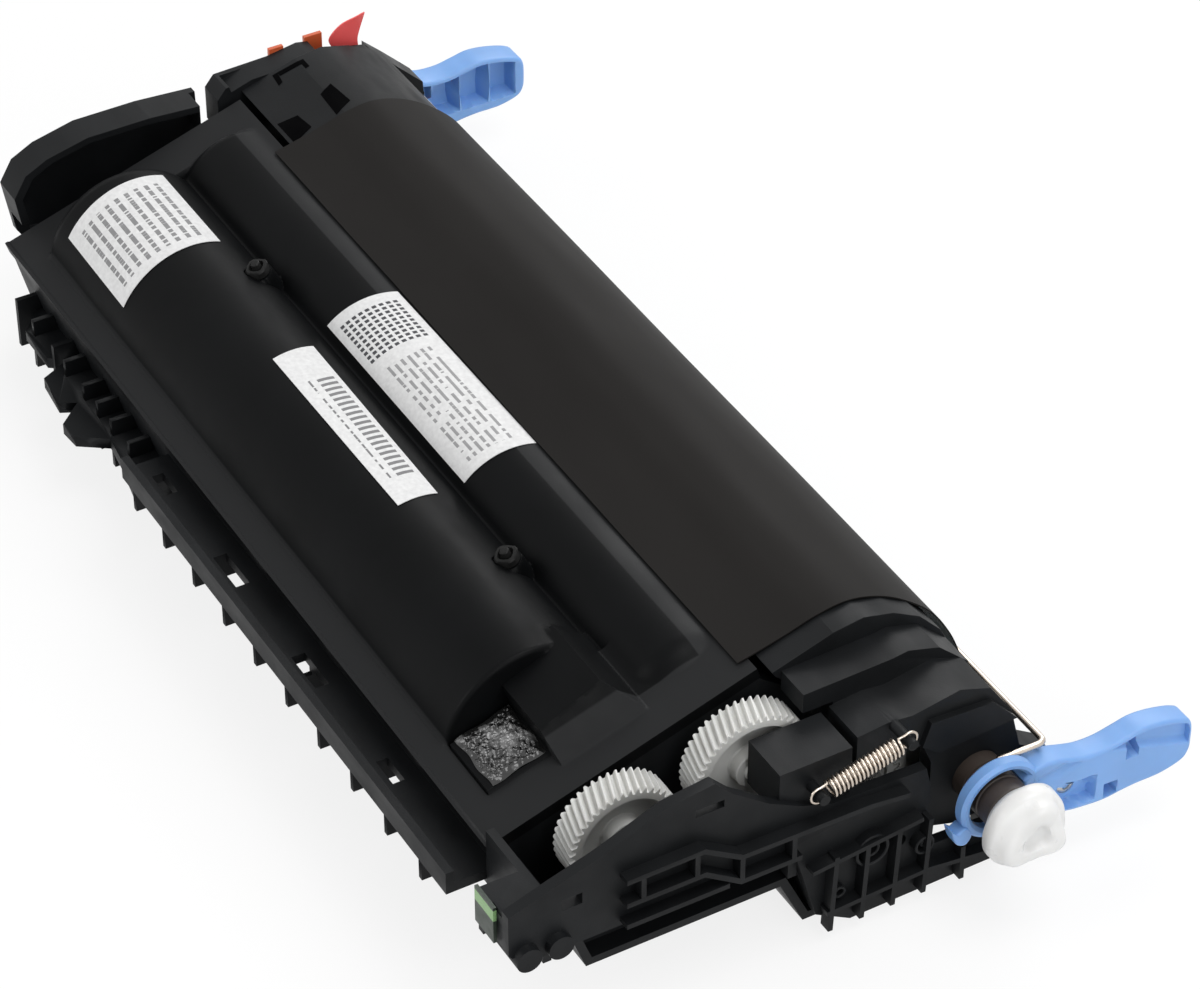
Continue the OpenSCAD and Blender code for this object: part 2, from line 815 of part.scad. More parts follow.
module idle_flange() {
    color(white)
        difference() {
            union() {
                rod(-118, -108, drum_at, drum_r - drum_t);
                rod(-120, -118, drum_at, drum_r);
            }
            rod(-121, -107, drum_at, drum_pin_r + fit);
        }
}

module drum_pin() {
    color(steel)
        union() {
            rod(-144, -106, drum_at, drum_pin_r);
            rod(-150, -143.9, drum_at, pin_end_r);
        }
}

module drum_bearing() {
    color([0.25, 0.21, 0.19])
        ring(138.5, 163.5, drum_at, 6, drum_shaft_r + fit);
}

// The drive coupling on the drum shaft's end, with three lobes in front of its flange
module drum_coupling() {
    color(white)
        difference() {
            union() {
                rod(164.4, 170.5, drum_at, coupling_r);
                rod(170.5, 173.5, drum_at, 7.4);
                for (a = [90, 210, 330])
                    along(170.4, 175)
                        translate(drum_at + 6.6 * dir(a))
                            circle(2.9, $fn = 24);
                rod(173.4, 174.4, drum_at, 3.2);
            }
            rod(160, 170, drum_at, drum_shaft_r);
        }
}

module charge_shaft() {
    color(steel)
        rod(-114, 114, charge_at, charge_shaft_r);
}

module charge_roller() {
    color(soft_black)
        ring(-107, 107, charge_at, charge_r, charge_shaft_r);
}

module charge_bearings() {
    color(white)
        for (x = [-113, 109.5])
            along(x, x + 3.5)
                difference() {
                    translate(charge_at - [4, 3.6])
                        square([8, 9]);
                    translate(charge_at)
                        circle(charge_shaft_r + fit);
                }
}

module charge_springs() {
    color(steel)
        for (x = [-111.2, 111.2])
            translate([x, charge_at[0], charge_at[1] + 5.4])
                cylinder(h = 3.1, r = 1.6);
}

module cleaning_blade() {
    color([0.75, 0.62, 0.4])
        along(-112, 112)
            polygon([[48.6, 38.3], [52.5, 34.2], [53.1, 34.9], [50.2, 38.4]]);
}

module blade_holder() {
    color(steel)
        along(-114, 114)
            polygon([[44, 38.1], [50.2, 38.4], [50.5, 40.2], [47, 39.27], [44, 39.4]]);
}

// The flat lever with its two pockets
module handle_body(x0) {
    difference() {
        along(x0, x0 + handle_t)
            polygon(handle_outline);
        along(x0 - 1, x0 + handle_t + 1) {
            translate([95.5, 23])
                square([2, 4]);
            translate([90, 14.5])
                square([2, 2.4]);
        }
    }
}

module drive_side_handle() {
    x0 = 152;
    color(blue)
        difference() {
            union() {
                handle_body(x0);
                rod(x0 + 2, x0 + handle_t, drum_at, 10.5);
                rod(x0 + 2, x0 + handle_t, [50.6, 23.6], 1.8);
                rod(149.5, x0 + 2, screw_at, 3.4);
            }
            rod(x0 - 3, x0 + handle_t + 1, drum_at, 6.9);
            rod(148, x0 + handle_t + 1, screw_at, screw_r);
            rod(156, x0 + handle_t + 1, screw_at, screw_head_r);
        }
}

module idle_side_handle() {
    x0 = -152;
    color(blue)
        difference() {
            handle_body(x0);
            for (y = [85, 93.5, 102])
                along(x0 + 3, x0 + handle_t + 1)
                    translate([y, 17])
                        square([7, 14]);
            rod(x0 - 1, x0 + 4, screw_at, screw_head_r);
            rod(x0 + 3, x0 + handle_t + 1, screw_at, screw_r);
        }
}

module handle_screws() {
    color(steel) {
        rod(145, 156, screw_at, screw_r);
        rod(156, 157.4, screw_at, screw_head_r);
        rod(-148, -138, screw_at, screw_r);
        rod(-149.4, -148, screw_at, screw_head_r);
    }
}

module lock_clips() {
    color([0.88, 0.39, 0.24]) {
        box([-135.6, -134.5], [33, 37], [50, 60.5]);
        box([-135.6, -134.5], [43, 48], [48, 61]);
    }
}

hopper_frame();
hopper_lid();
lid_rivets();
toner_seal();
pull_tab();
fill_plug();
seal_tape();
label_left();
label_centre();
label_bars();
agitator_a();
agitator_b();
agitator_gear_a();
agitator_gear_b();
idler_gear_a();
idler_gear_b();
gear_pins();
developer_shaft();
developer_roller();
developer_gear();
developer_bearings();
supply_shaft();
supply_roller();
supply_gear();
doctor_blade();
memory_chip();
drive_side_cover();
idle_side_cover();
tension_spring();
pivot_pins();
cleaner_frame();
drive_end_frame();
idle_end_frame();
light_shield_sheet();
shield_wire();
drum_tube();
drum_gear();
idle_flange();
drum_pin();
drum_bearing();
drum_coupling();
charge_shaft();
charge_roller();
charge_bearings();
charge_springs();
cleaning_blade();
blade_holder();
drive_side_handle();
idle_side_handle();
handle_screws();
lock_clips();
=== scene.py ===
"""Looks of a colour laser toner cartridge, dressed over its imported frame. Lengths below are in millimetres."""
import json
import math

import bmesh
import bpy
import numpy as np
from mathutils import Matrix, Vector


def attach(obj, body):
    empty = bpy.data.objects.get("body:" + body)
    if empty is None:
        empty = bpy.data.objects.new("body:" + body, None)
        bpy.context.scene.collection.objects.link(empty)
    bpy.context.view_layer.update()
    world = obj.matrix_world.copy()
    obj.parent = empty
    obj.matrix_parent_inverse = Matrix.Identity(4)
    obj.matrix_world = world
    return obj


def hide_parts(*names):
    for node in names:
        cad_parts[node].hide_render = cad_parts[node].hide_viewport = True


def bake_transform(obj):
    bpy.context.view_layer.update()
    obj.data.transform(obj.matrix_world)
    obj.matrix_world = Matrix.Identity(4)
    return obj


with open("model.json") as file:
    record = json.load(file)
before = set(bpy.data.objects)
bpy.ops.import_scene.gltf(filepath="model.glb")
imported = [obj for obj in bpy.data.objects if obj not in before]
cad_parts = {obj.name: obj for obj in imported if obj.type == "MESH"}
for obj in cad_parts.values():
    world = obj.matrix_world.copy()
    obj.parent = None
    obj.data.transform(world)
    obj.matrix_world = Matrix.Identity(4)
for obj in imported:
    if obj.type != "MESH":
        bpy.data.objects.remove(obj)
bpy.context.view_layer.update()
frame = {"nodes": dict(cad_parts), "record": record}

# Camera, found from the photograph's vanishing directions
CAMERA_AT = (705.96, -352.12, 664.24)
CAMERA_AZIMUTH = 60.152
CAMERA_ELEVATION = 39.156
FOCAL_PX = 4300.0
PHOTO_W = 1200.0
SENSOR_W = 36.0

# The hopper lid's slope and the two troughs, as in the frame
LID_Y, LID_Z = -47.0, 35.0
LID_TILT = math.radians(17.65)
TROUGH_A = (-19.5, 33.8)
TROUGH_B = (12.0, 39.5)
TROUGH_A_R = 21.4
TROUGH_B_R = 16.5


def lid_point(s, h):
    """A point of the lid's slope: s up the slope and h off it, as y and z."""
    return (LID_Y + s * math.cos(LID_TILT) - h * math.sin(LID_TILT),
            LID_Z + s * math.sin(LID_TILT) + h * math.cos(LID_TILT))


# Shading tools

class Finish:
    """A material with one principled shader, and short ways to add the nodes that its look needs."""

    def __init__(self, name, colour, roughness, **sockets):
        self.material = bpy.data.materials.new(name)
        self.material.use_nodes = True
        self.tree = self.material.node_tree
        self.shader = self.tree.nodes["Principled BSDF"]
        self.shader.inputs["Base Color"].default_value = (*colour, 1)
        self.shader.inputs["Roughness"].default_value = roughness
        for socket, value in sockets.items():
            self.shader.inputs[socket.replace("_", " ")].default_value = value
        self.place = self.node("ShaderNodeTexCoord").outputs["Object"]

    def node(self, kind, **values):
        made = self.tree.nodes.new(kind)
        for key, value in values.items():
            setattr(made, key, value)
        return made

    def join(self, output, socket):
        self.tree.links.new(output, socket)

    def noise(self, scale, detail=3.0, stretch=(1, 1, 1), where=None):
        """Cloudy noise of a scale in cells per metre, stretched along the axes."""
        mapping = self.node("ShaderNodeMapping")
        mapping.inputs["Scale"].default_value = stretch
        self.join(where or self.place, mapping.inputs["Vector"])
        cloud = self.node("ShaderNodeTexNoise")
        cloud.inputs["Scale"].default_value = scale
        cloud.inputs["Detail"].default_value = detail
        self.join(mapping.outputs["Vector"], cloud.inputs["Vector"])
        return cloud.outputs["Fac"]

    def ramp(self, value, stops, interpolation="LINEAR"):
        """Colours or greys along a value: stops are (position, colour)."""
        made = self.node("ShaderNodeValToRGB")
        made.color_ramp.interpolation = interpolation
        while len(made.color_ramp.elements) < len(stops):
            made.color_ramp.elements.new(0.5)
        for element, (at, colour) in zip(made.color_ramp.elements, stops):
            element.position = at
            element.color = (*colour, 1) if isinstance(colour, tuple) else (colour, colour, colour, 1)
        self.join(value, made.inputs["Fac"])
        return made.outputs["Color"]

    def colour(self, value, stops):
        self.join(self.ramp(value, stops), self.shader.inputs["Base Color"])

    def gloss(self, value, low, high):
        self.join(self.ramp(value, [(0.3, low), (0.7, high)]), self.shader.inputs["Roughness"])

    def bump(self, value, depth, strength=1.0):
        """Relief of a depth in millimetres, laid over any relief that is there already."""
        made = self.node("ShaderNodeBump")
        made.inputs["Distance"].default_value = depth / 1000
        made.inputs["Strength"].default_value = strength
        self.join(value, made.inputs["Height"])
        normal = self.shader.inputs["Normal"]
        if normal.is_linked:
            self.join(normal.links[0].from_socket, made.inputs["Normal"])
        self.join(made.outputs["Normal"], normal)


def moulded_black(name, dark, light, rough, grain):
    """Spark-eroded black plastic: cloudy tone, a fine even grain and faint handling marks."""
    made = Finish(name, light, rough, Specular_IOR_Level=0.12)
    made.colour(made.noise(45, 4), [(0.35, dark), (0.7, light)])
    made.gloss(made.noise(70, 5, (1, 2.4, 2.4)), rough - 0.07, rough + 0.1)
    made.bump(made.noise(2600, 2), grain)
    made.bump(made.noise(120, 3), 0.05)
    return made.material


def shell_finish_with_painted_rim_light():
    """The lid's black: smoother than the rest, and a little paler where the UV's first value marks the rim. The paler
    rim is painted light, standing in for the light that the rim catches.
    """
    made = Finish("trough shell black, rim painted paler", (0.004, 0.0044, 0.0048), 0.42, Specular_IOR_Level=0.06)
    split = made.node("ShaderNodeSeparateXYZ")
    made.join(made.node("ShaderNodeTexCoord").outputs["UV"], split.inputs[0])
    mixed = made.node("ShaderNodeMath", operation="MULTIPLY_ADD")
    made.join(made.noise(45, 4), mixed.inputs[0])
    mixed.inputs[1].default_value = 0.3
    made.join(split.outputs[0], mixed.inputs[2])
    # Painted light: the last stop, where the UV's first value reaches 1 on the rim, is several times paler than the
    # panel, for the light the rim catches.
    made.colour(mixed.outputs[0], [(0.1, (0.0022, 0.0024, 0.0026)), (0.25, (0.0034, 0.0037, 0.0041)),
                                   (1.0, (0.017, 0.0175, 0.0182))])
    made.gloss(made.noise(70, 5, (1, 2.4, 2.4)), 0.36, 0.5)
    made.bump(made.noise(2600, 2), 0.012)
    made.bump(made.noise(120, 3), 0.05)
    return made.material


def translucent_white(name, tone, rough):
    """Natural acetal: creamy white with light scattering inside it and faint flow marks."""
    made = Finish(name, tone, rough, Subsurface_Weight=0.25, Subsurface_Scale=0.004,
                  Subsurface_Radius=(1.0, 0.95, 0.85))
    made.colour(made.noise(90, 3), [(0.3, tuple(c * 0.9 for c in tone)), (0.7, tone)])
    made.gloss(made.noise(150, 3), rough - 0.06, rough + 0.08)
    made.bump(made.noise(500, 2), 0.015)
    return made.material


def drawn_steel(name, tone, rough):
    """Drawn wire and turned pins: bright metal with streaks along X and a little dulling."""
    made = Finish(name, tone, rough, Metallic=1.0)
    made.colour(made.noise(140, 4), [(0.3, tuple(c * 0.75 for c in tone)), (0.75, tone)])
    made.gloss(made.noise(900, 3, (0.06, 1, 1)), rough - 0.08, rough + 0.12)
    made.bump(made.noise(1500, 2, (0.05, 1, 1)), 0.01)
    return made.material


def coloured_plastic(name, tone, rough, weight=0.12):
    """Dyed satin plastic with slight waviness, as on levers and clips."""
    made = Finish(name, tone, rough, Subsurface_Weight=weight, Subsurface_Scale=0.002)
    made.colour(made.noise(60, 3), [(0.3, tuple(c * 0.88 for c in tone)), (0.72, tone)])
    made.gloss(made.noise(110, 3), rough - 0.05, rough + 0.08)
    made.bump(made.noise(1900, 2), 0.012)
    made.bump(made.noise(60, 2), 0.08)
    return made.material


def soft_rubber(name, tone, rough, depth, scale=1600):
    made = Finish(name, tone, rough)
    made.colour(made.noise(80, 4), [(0.3, tuple(c * 0.7 for c in tone)), (0.7, tone)])
    made.gloss(made.noise(300, 3), rough - 0.08, rough + 0.08)
    made.bump(made.noise(scale, 3), depth)
    return made.material


BLACK = moulded_black("moulded black", (0.0055, 0.006, 0.0066), (0.009, 0.0098, 0.0108), 0.46, 0.02)
BLACK_SHELL_PAINTED_RIM = shell_finish_with_painted_rim_light()
BLACK_SOFT = moulded_black("satin black", (0.008, 0.008, 0.008), (0.014, 0.014, 0.014), 0.5, 0.03)
WHITE = translucent_white("natural acetal", (0.78, 0.78, 0.75), 0.38)
STEEL = drawn_steel("bright steel", (0.6, 0.58, 0.54), 0.28)
SPRING = drawn_steel("spring wire", (0.66, 0.58, 0.5), 0.24)
BLUE = coloured_plastic("lever blue", (0.18, 0.36, 0.71), 0.44)
ORANGE = coloured_plastic("clip orange", (0.55, 0.1, 0.03), 0.45)
RED = coloured_plastic("tab red", (0.78, 0.1, 0.1), 0.4)
BROWN = coloured_plastic("bearing brown", (0.045, 0.034, 0.028), 0.45, 0.0)


def chip_finish():
    """Dark green board with a pale contact field at its upper end."""
    made = Finish("chip board green", (0.02, 0.05, 0.02), 0.45)
    split = made.node("ShaderNodeSeparateXYZ")
    made.join(made.place, split.inputs[0])
    field = between(made, split.outputs[2], 0.0372, 0.0402)
    made.colour(field, [(0.0, (0.012, 0.022, 0.013)), (1.0, (0.2, 0.36, 0.15))])
    made.gloss(made.noise(300, 3), 0.35, 0.5)
    return made.material

RUBBER = soft_rubber("roller rubber", (0.02, 0.02, 0.021), 0.6, 0.02)
FOAM = soft_rubber("supply foam", (0.1, 0.1, 0.1), 0.9, 0.2, 2400)
URETHANE = coloured_plastic("blade urethane", (0.5, 0.34, 0.14), 0.35, 0.2)
DRUM = coloured_plastic("drum coating", (0.03, 0.22, 0.26), 0.12, 0.0)
CLEAR = coloured_plastic("clear film", (0.4, 0.41, 0.41), 0.1, 0.0)

def sheet_finish():
    """The shield's matt polyester: warm dark grey, faintly streaked along its length, with soft creases."""
    made = Finish("shield sheet", (0.01, 0.0093, 0.0088), 0.55, Specular_IOR_Level=0.07)
    made.colour(made.noise(30, 3, (0.35, 1, 1)), [(0.35, (0.0098, 0.009, 0.0085)), (0.7, (0.013, 0.012, 0.0113))])
    made.gloss(made.noise(40, 4, (0.3, 1, 1)), 0.5, 0.62)
    made.bump(made.noise(2200, 2), 0.01)
    made.bump(made.noise(18, 2), 0.25)
    return made.material


def printed_paper(name, draw):
    """Uncoated white label stock with a faint fibre, printed by the given function in the label's UV."""
    made = Finish(name, (0.7, 0.7, 0.685), 0.6, Specular_IOR_Level=0.2)
    fibre = made.ramp(made.noise(900, 4), [(0.3, 0.6), (0.7, 0.7)])
    split = made.node("ShaderNodeSeparateXYZ")
    made.join(made.node("ShaderNodeTexCoord").outputs["UV"], split.inputs[0])
    ink = draw(made, split.outputs[0], split.outputs[1])
    mix = made.node("ShaderNodeMix", data_type="RGBA")
    made.join(ink, mix.inputs["Factor"])
    made.join(fibre, mix.inputs["A"])
    mix.inputs["B"].default_value = (0.06, 0.06, 0.065, 1)
    made.join(mix.outputs["Result"], made.shader.inputs["Base Color"])
    made.bump(made.noise(1300, 3), 0.01)
    return made.material


def sum_of(made, operation, a, b):
    node = made.node("ShaderNodeMath", operation=operation)
    for socket, value in zip(node.inputs, (a, b)):
        if isinstance(value, (int, float)):
            socket.default_value = value
        else:
            made.join(value, socket)
    return node.outputs[0]


def between(made, value, low, high):
    """1 where a value lies between two limits, else 0."""
    return sum_of(made, "MULTIPLY", sum_of(made, "GREATER_THAN", value, low), sum_of(made, "LESS_THAN", value, high))


def dash_rows(made, u, v, rows, length, u0, u1, v0, v1, seed):
    """Rows of grey dashes inside a rectangle: a plain band in each row, broken at uneven places."""
    row = sum_of(made, "MULTIPLY", v, rows)
    band = between(made, sum_of(made, "FRACT", row, 0), 0.3, 0.72)
    place = made.node("ShaderNodeCombineXYZ")
    made.join(sum_of(made, "MULTIPLY", u, length), place.inputs[0])
    made.join(sum_of(made, "MULTIPLY", sum_of(made, "FLOOR", row, 0), 3.7 + seed), place.inputs[1])
    noise = made.node("ShaderNodeTexNoise")
    noise.inputs["Scale"].default_value = 1.0
    noise.inputs["Detail"].default_value = 0.0
    made.join(place.outputs[0], noise.inputs["Vector"])
    dashes = sum_of(made, "GREATER_THAN", noise.outputs["Fac"], 0.43)
    inside = sum_of(made, "MULTIPLY", between(made, u, u0, u1), between(made, v, v0, v1))
    return sum_of(made, "MULTIPLY", sum_of(made, "MULTIPLY", band, dashes), inside)


def lines_print(made, u, v):
    return sum_of(made, "MULTIPLY", dash_rows(made, u, v, 11, 34, 0.12, 0.9, 0.1, 0.92, 0.3), 0.72)


def squares_print(made, u, v):
    """A plain field of small squares at the far end, then rows of dashes."""
    cell_u = sum_of(made, "FRACT", sum_of(made, "MULTIPLY", u, 40), 0)
    cell_v = sum_of(made, "FRACT", sum_of(made, "MULTIPLY", v, 11), 0)
    cell = sum_of(made, "MULTIPLY", between(made, cell_u, 0.2, 0.8), between(made, cell_v, 0.2, 0.8))
    field = sum_of(made, "MULTIPLY", between(made, u, 0.05, 0.3), between(made, v, 0.09, 0.91))
    rows = sum_of(made, "MULTIPLY", dash_rows(made, u, v, 11, 46, 0.36, 0.95, 0.18, 0.83, 0.9), 0.62)
    return sum_of(made, "MAXIMUM", sum_of(made, "MULTIPLY", cell, field), rows)


def bars_print(made, u, v):
    """Plain even bars across the middle and one row of dashes beside them."""
    bar = between(made, sum_of(made, "FRACT", sum_of(made, "MULTIPLY", u, 30), 0), 0.28, 0.78)
    field = sum_of(made, "MULTIPLY", between(made, u, 0.2, 0.86), between(made, v, 0.44, 0.86))
    rows = dash_rows(made, u, v, 9, 60, 0.2, 0.86, 0.22, 0.34, 1.7)
    return sum_of(made, "MULTIPLY", sum_of(made, "MAXIMUM", sum_of(made, "MULTIPLY", bar, field), rows), 0.8)


def tape_finish():
    """Clear tape over black: dark, very glossy, with milky smears."""
    made = Finish("creased clear tape", (0.05, 0.052, 0.052), 0.1, Specular_IOR_Level=0.7)
    made.colour(made.noise(170, 3, (1, 1.6, 1.6)), [(0.54, (0.008, 0.008, 0.008)), (0.68, (0.17, 0.17, 0.17))])
    made.gloss(made.noise(200, 3), 0.05, 0.2)
    made.bump(made.noise(160, 2), 0.2)
    return made.material


TAPE = tape_finish()
SHEET = sheet_finish()
LABEL_LINES = printed_paper("printed paper, rows", lines_print)
LABEL_SQUARES = printed_paper("printed paper, squares", squares_print)
LABEL_BARS = printed_paper("printed paper, bars", bars_print)
GEAR_WHITE = translucent_white("gear acetal", (0.62, 0.62, 0.6), 0.45)
COUPLING_WHITE = translucent_white("coupling acetal", (0.74, 0.74, 0.735), 0.32)

NODE_FINISH = {
    "toner_seal": CLEAR, "pull_tab": RED, "fill_plug": BLACK_SOFT,
    "agitator_a": WHITE, "agitator_b": WHITE, "gear_pins": STEEL, "developer_shaft": STEEL,
    "developer_roller": RUBBER, "developer_bearings": WHITE, "supply_shaft": STEEL, "supply_roller": FOAM,
    "doctor_blade": STEEL, "memory_chip": chip_finish(), "pivot_pins": STEEL,
    "drum_tube": DRUM, "idle_flange": WHITE, "charge_shaft": STEEL, "charge_roller": RUBBER, "charge_bearings": WHITE,
    "charge_springs": SPRING, "cleaning_blade": URETHANE, "blade_holder": STEEL,
    "lock_clips": ORANGE,
    "drum_gear": GEAR_WHITE,
}


def wear(obj, material):
    obj.data.materials.clear()
    obj.data.materials.append(material)


for node, material in NODE_FINISH.items():
    wear(frame["nodes"][node], material)


def softened(name, node, material, width=0.3, sharp=32):
    """A moulding with its edges broken: the frame's own solid, merged, with a fine bevel on each edge."""
    mesh = frame["nodes"][node].data.copy()
    shape = bmesh.new()
    shape.from_mesh(mesh)
    bmesh.ops.remove_doubles(shape, verts=shape.verts, dist=3e-6)
    bmesh.ops.dissolve_limit(shape, angle_limit=math.radians(0.5), verts=shape.verts, edges=shape.edges)
    shape.to_mesh(mesh)
    shape.free()
    obj = bpy.data.objects.new(name, mesh)
    bpy.context.scene.collection.objects.link(obj)
    wear(obj, material)
    mesh.polygons.foreach_set("use_smooth", np.ones(len(mesh.polygons), bool))
    mesh.set_sharp_from_angle(angle=math.radians(sharp))
    bevel = obj.modifiers.new("broken edges", "BEVEL")
    bevel.width = width / 1000
    bevel.segments = 2
    bevel.limit_method = "ANGLE"
    bevel.angle_limit = math.radians(sharp)
    bevel.use_clamp_overlap = True
    bevel.harden_normals = True
    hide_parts(node)
    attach(obj, next(b for b, members in frame["record"]["behaviour"]["bodies"].items() if node in members))
    return obj


for name, node, material, width in [
        ("hopper_shell", "hopper_frame", BLACK, 0.4), ("drive_cover", "drive_side_cover", BLACK, 0.25),
        ("idle_cover", "idle_side_cover", BLACK, 0.5), ("waste_bin", "cleaner_frame", BLACK, 0.4),
        ("drive_block", "drive_end_frame", BLACK, 0.35), ("idle_block", "idle_end_frame", BLACK, 0.4)]:
    softened(name, node, material, width)


# Surfaces worked out as grids of points

class Surface:
    """Grids of points in millimetres, gathered into one mesh. A grid is rows by columns by x, y, z, and
    neighbouring rows and columns are joined by four-sided faces."""

    def __init__(self):
        self.points, self.faces, self.maps, self.count = [], [], [], 0

    def grid(self, p, round_rows=False, round_columns=False, uv=None):
        rows, columns = p.shape[:2]
        i = np.arange(rows if round_rows else rows - 1)[:, None]
        j = np.arange(columns if round_columns else columns - 1)[None, :]
        i1, j1 = (i + 1) % rows, (j + 1) % columns
        quads = np.stack([i * columns + j, i * columns + j1, i1 * columns + j1, i1 * columns + j], -1)
        self.points.append(p.reshape(-1, 3))
        self.faces.append(quads.reshape(-1, 4) + self.count)
        self.maps.append(np.zeros((rows * columns, 2)) if uv is None else uv.reshape(-1, 2))
        self.count += rows * columns
        return self

    def made(self, name, material, body, nodes=(), sharp=35.0, outward=True, weld=0.002):
        points = np.concatenate(self.points) / 1000
        faces = np.concatenate(self.faces)
        mesh = bpy.data.meshes.new(name)
        mesh.vertices.add(len(points))
        mesh.vertices.foreach_set("co", points.astype(np.float32).ravel())
        mesh.loops.add(faces.size)
        mesh.loops.foreach_set("vertex_index", faces.astype(np.int32).ravel())
        mesh.polygons.add(len(faces))
        mesh.polygons.foreach_set("loop_start", np.arange(0, faces.size, 4, dtype=np.int32))
        mesh.uv_layers.new(name="UVMap")
        mesh.uv_layers[0].data.foreach_set("uv", np.concatenate(self.maps)[faces.ravel()].astype(np.float32).ravel())
        mesh.update(calc_edges=True)
        shape = bmesh.new()
        shape.from_mesh(mesh)
        bmesh.ops.remove_doubles(shape, verts=shape.verts, dist=weld / 1000)
        bmesh.ops.dissolve_degenerate(shape, edges=shape.edges, dist=1e-7)
        if outward:
            bmesh.ops.recalc_face_normals(shape, faces=shape.faces)
        shape.to_mesh(mesh)
        shape.free()
        mesh.polygons.foreach_set("use_smooth", np.ones(len(mesh.polygons), bool))
        mesh.set_sharp_from_angle(angle=math.radians(sharp))
        obj = bpy.data.objects.new(name, mesh)
        bpy.context.scene.collection.objects.link(obj)
        wear(obj, material)
        if nodes:
            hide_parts(*nodes)
        if isinstance(body, tuple):
            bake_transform(obj)
        else:
            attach(obj, body)
        return obj


def larger(a, b, blend):
    """The larger of two heights, with a fillet about as wide as blend where they cross."""
    share = np.clip(0.5 + 0.5 * (a - b) / blend, 0, 1)
    return b + (a - b) * share + blend * share * (1 - share)


def step_up(distance, draft):
    """0 before an edge and 1 past it, over a slope as wide as draft."""
    t = np.clip(distance / draft + 0.5, 0, 1)
    return t * t * (3 - 2 * t)


def curve_through(points, per_span):
    """A smooth curve through a list of points: the cubic that has, at each point, the slope between its
    two neighbours."""
    p = np.asarray(points, float)
    ends = np.vstack([2 * p[0] - p[1], p, 2 * p[-1] - p[-2]])
    t = np.linspace(0, 1, per_span, endpoint=False)[:, None]
    a, b, c, d = ends[:-3], ends[1:-2], ends[2:-1], ends[3:]
    cubic = [0.5 * (2 * b[i] + (c[i] - a[i]) * t + (2 * a[i] - 5 * b[i] + 4 * c[i] - d[i]) * t**2
                    + (3 * b[i] - a[i] - 3 * c[i] + d[i]) * t**3) for i in range(len(b))]
    return np.vstack(cubic + [p[-1:]])


def tube(path, radius, sides=10, across=None):
    """Circles carried along a path: each point's ring lies across the path's direction there, turned from
    the across directions given."""
    path = np.asarray(path, float)
    along = np.gradient(path, axis=0)
    along /= np.linalg.norm(along, axis=1, keepdims=True)
    hint = np.broadcast_to(np.asarray(across if across is not None else (0, 0, 1), float), path.shape)
    u = np.cross(along, hint)
    u /= np.linalg.norm(u, axis=1, keepdims=True)
    v = np.cross(along, u)
    turn = np.linspace(0, 2 * np.pi, sides, endpoint=False)
    radius = np.broadcast_to(np.asarray(radius, float), len(path))
    rings = path[:, None] + radius[:, None, None] * (np.cos(turn)[None, :, None] * u[:, None]
                                                     + np.sin(turn)[None, :, None] * v[:, None])
    closed = np.concatenate([np.repeat(path[:1, None], sides, 1), rings, np.repeat(path[-1:, None], sides, 1)])
    return closed


def turned(at, stations, sides=64):
    """A profile of (x, radius) pairs carried round an axis along X at a y, z place."""
    x, r = np.asarray(stations, float).T
    turn = np.linspace(0, 2 * np.pi, sides, endpoint=False)
    return np.stack([np.broadcast_to(x[:, None], (len(x), sides)), at[0] + r[:, None] * np.cos(turn),
                     at[1] + r[:, None] * np.sin(turn)], -1)


# Hopper lid with its two trough shells

def barrel_height(x, s, middle, below, r, x0, x1, far_round, near_round):
    """Height off the lid of a barrel along X: the circle of radius r about (middle, below), with the
    radius drawn in along a quarter circle at each end."""
    from_far = np.clip((x0 + far_round - x) / far_round, 0, 1)
    from_near = np.clip((x - x1 + near_round) / near_round, 0, 1)
    drawn = far_round * (1 - np.sqrt(1 - from_far**2)) + near_round * (1 - np.sqrt(1 - from_near**2))
    inside = (r - drawn)**2 - (s - middle)**2
    height = below + np.sqrt(np.clip(inside, 0, None))
    return np.where((inside > 0) & (x >= x0) & (x <= x1), height, -30.0)


def lid_coordinates(at):
    y, z = at[0] - LID_Y, at[1] - LID_Z
    return (y * math.cos(LID_TILT) + z * math.sin(LID_TILT), -y * math.sin(LID_TILT) + z * math.cos(LID_TILT))


A_S, A_H = lid_coordinates(TROUGH_A)
B_S, B_H = lid_coordinates(TROUGH_B)
LID_X0, LID_X1, LID_W, LID_T = -124.0, 126.0, 69.6, 3.0
RIM_W, RIM_END_W, RECESS = 7.5, 12.0, 1.6
RIVET_X, RIVET_S, RIVET_H = (-60.0, 64.0), 43.2, 4.5
FILL_AT = (105.0, 16.0)


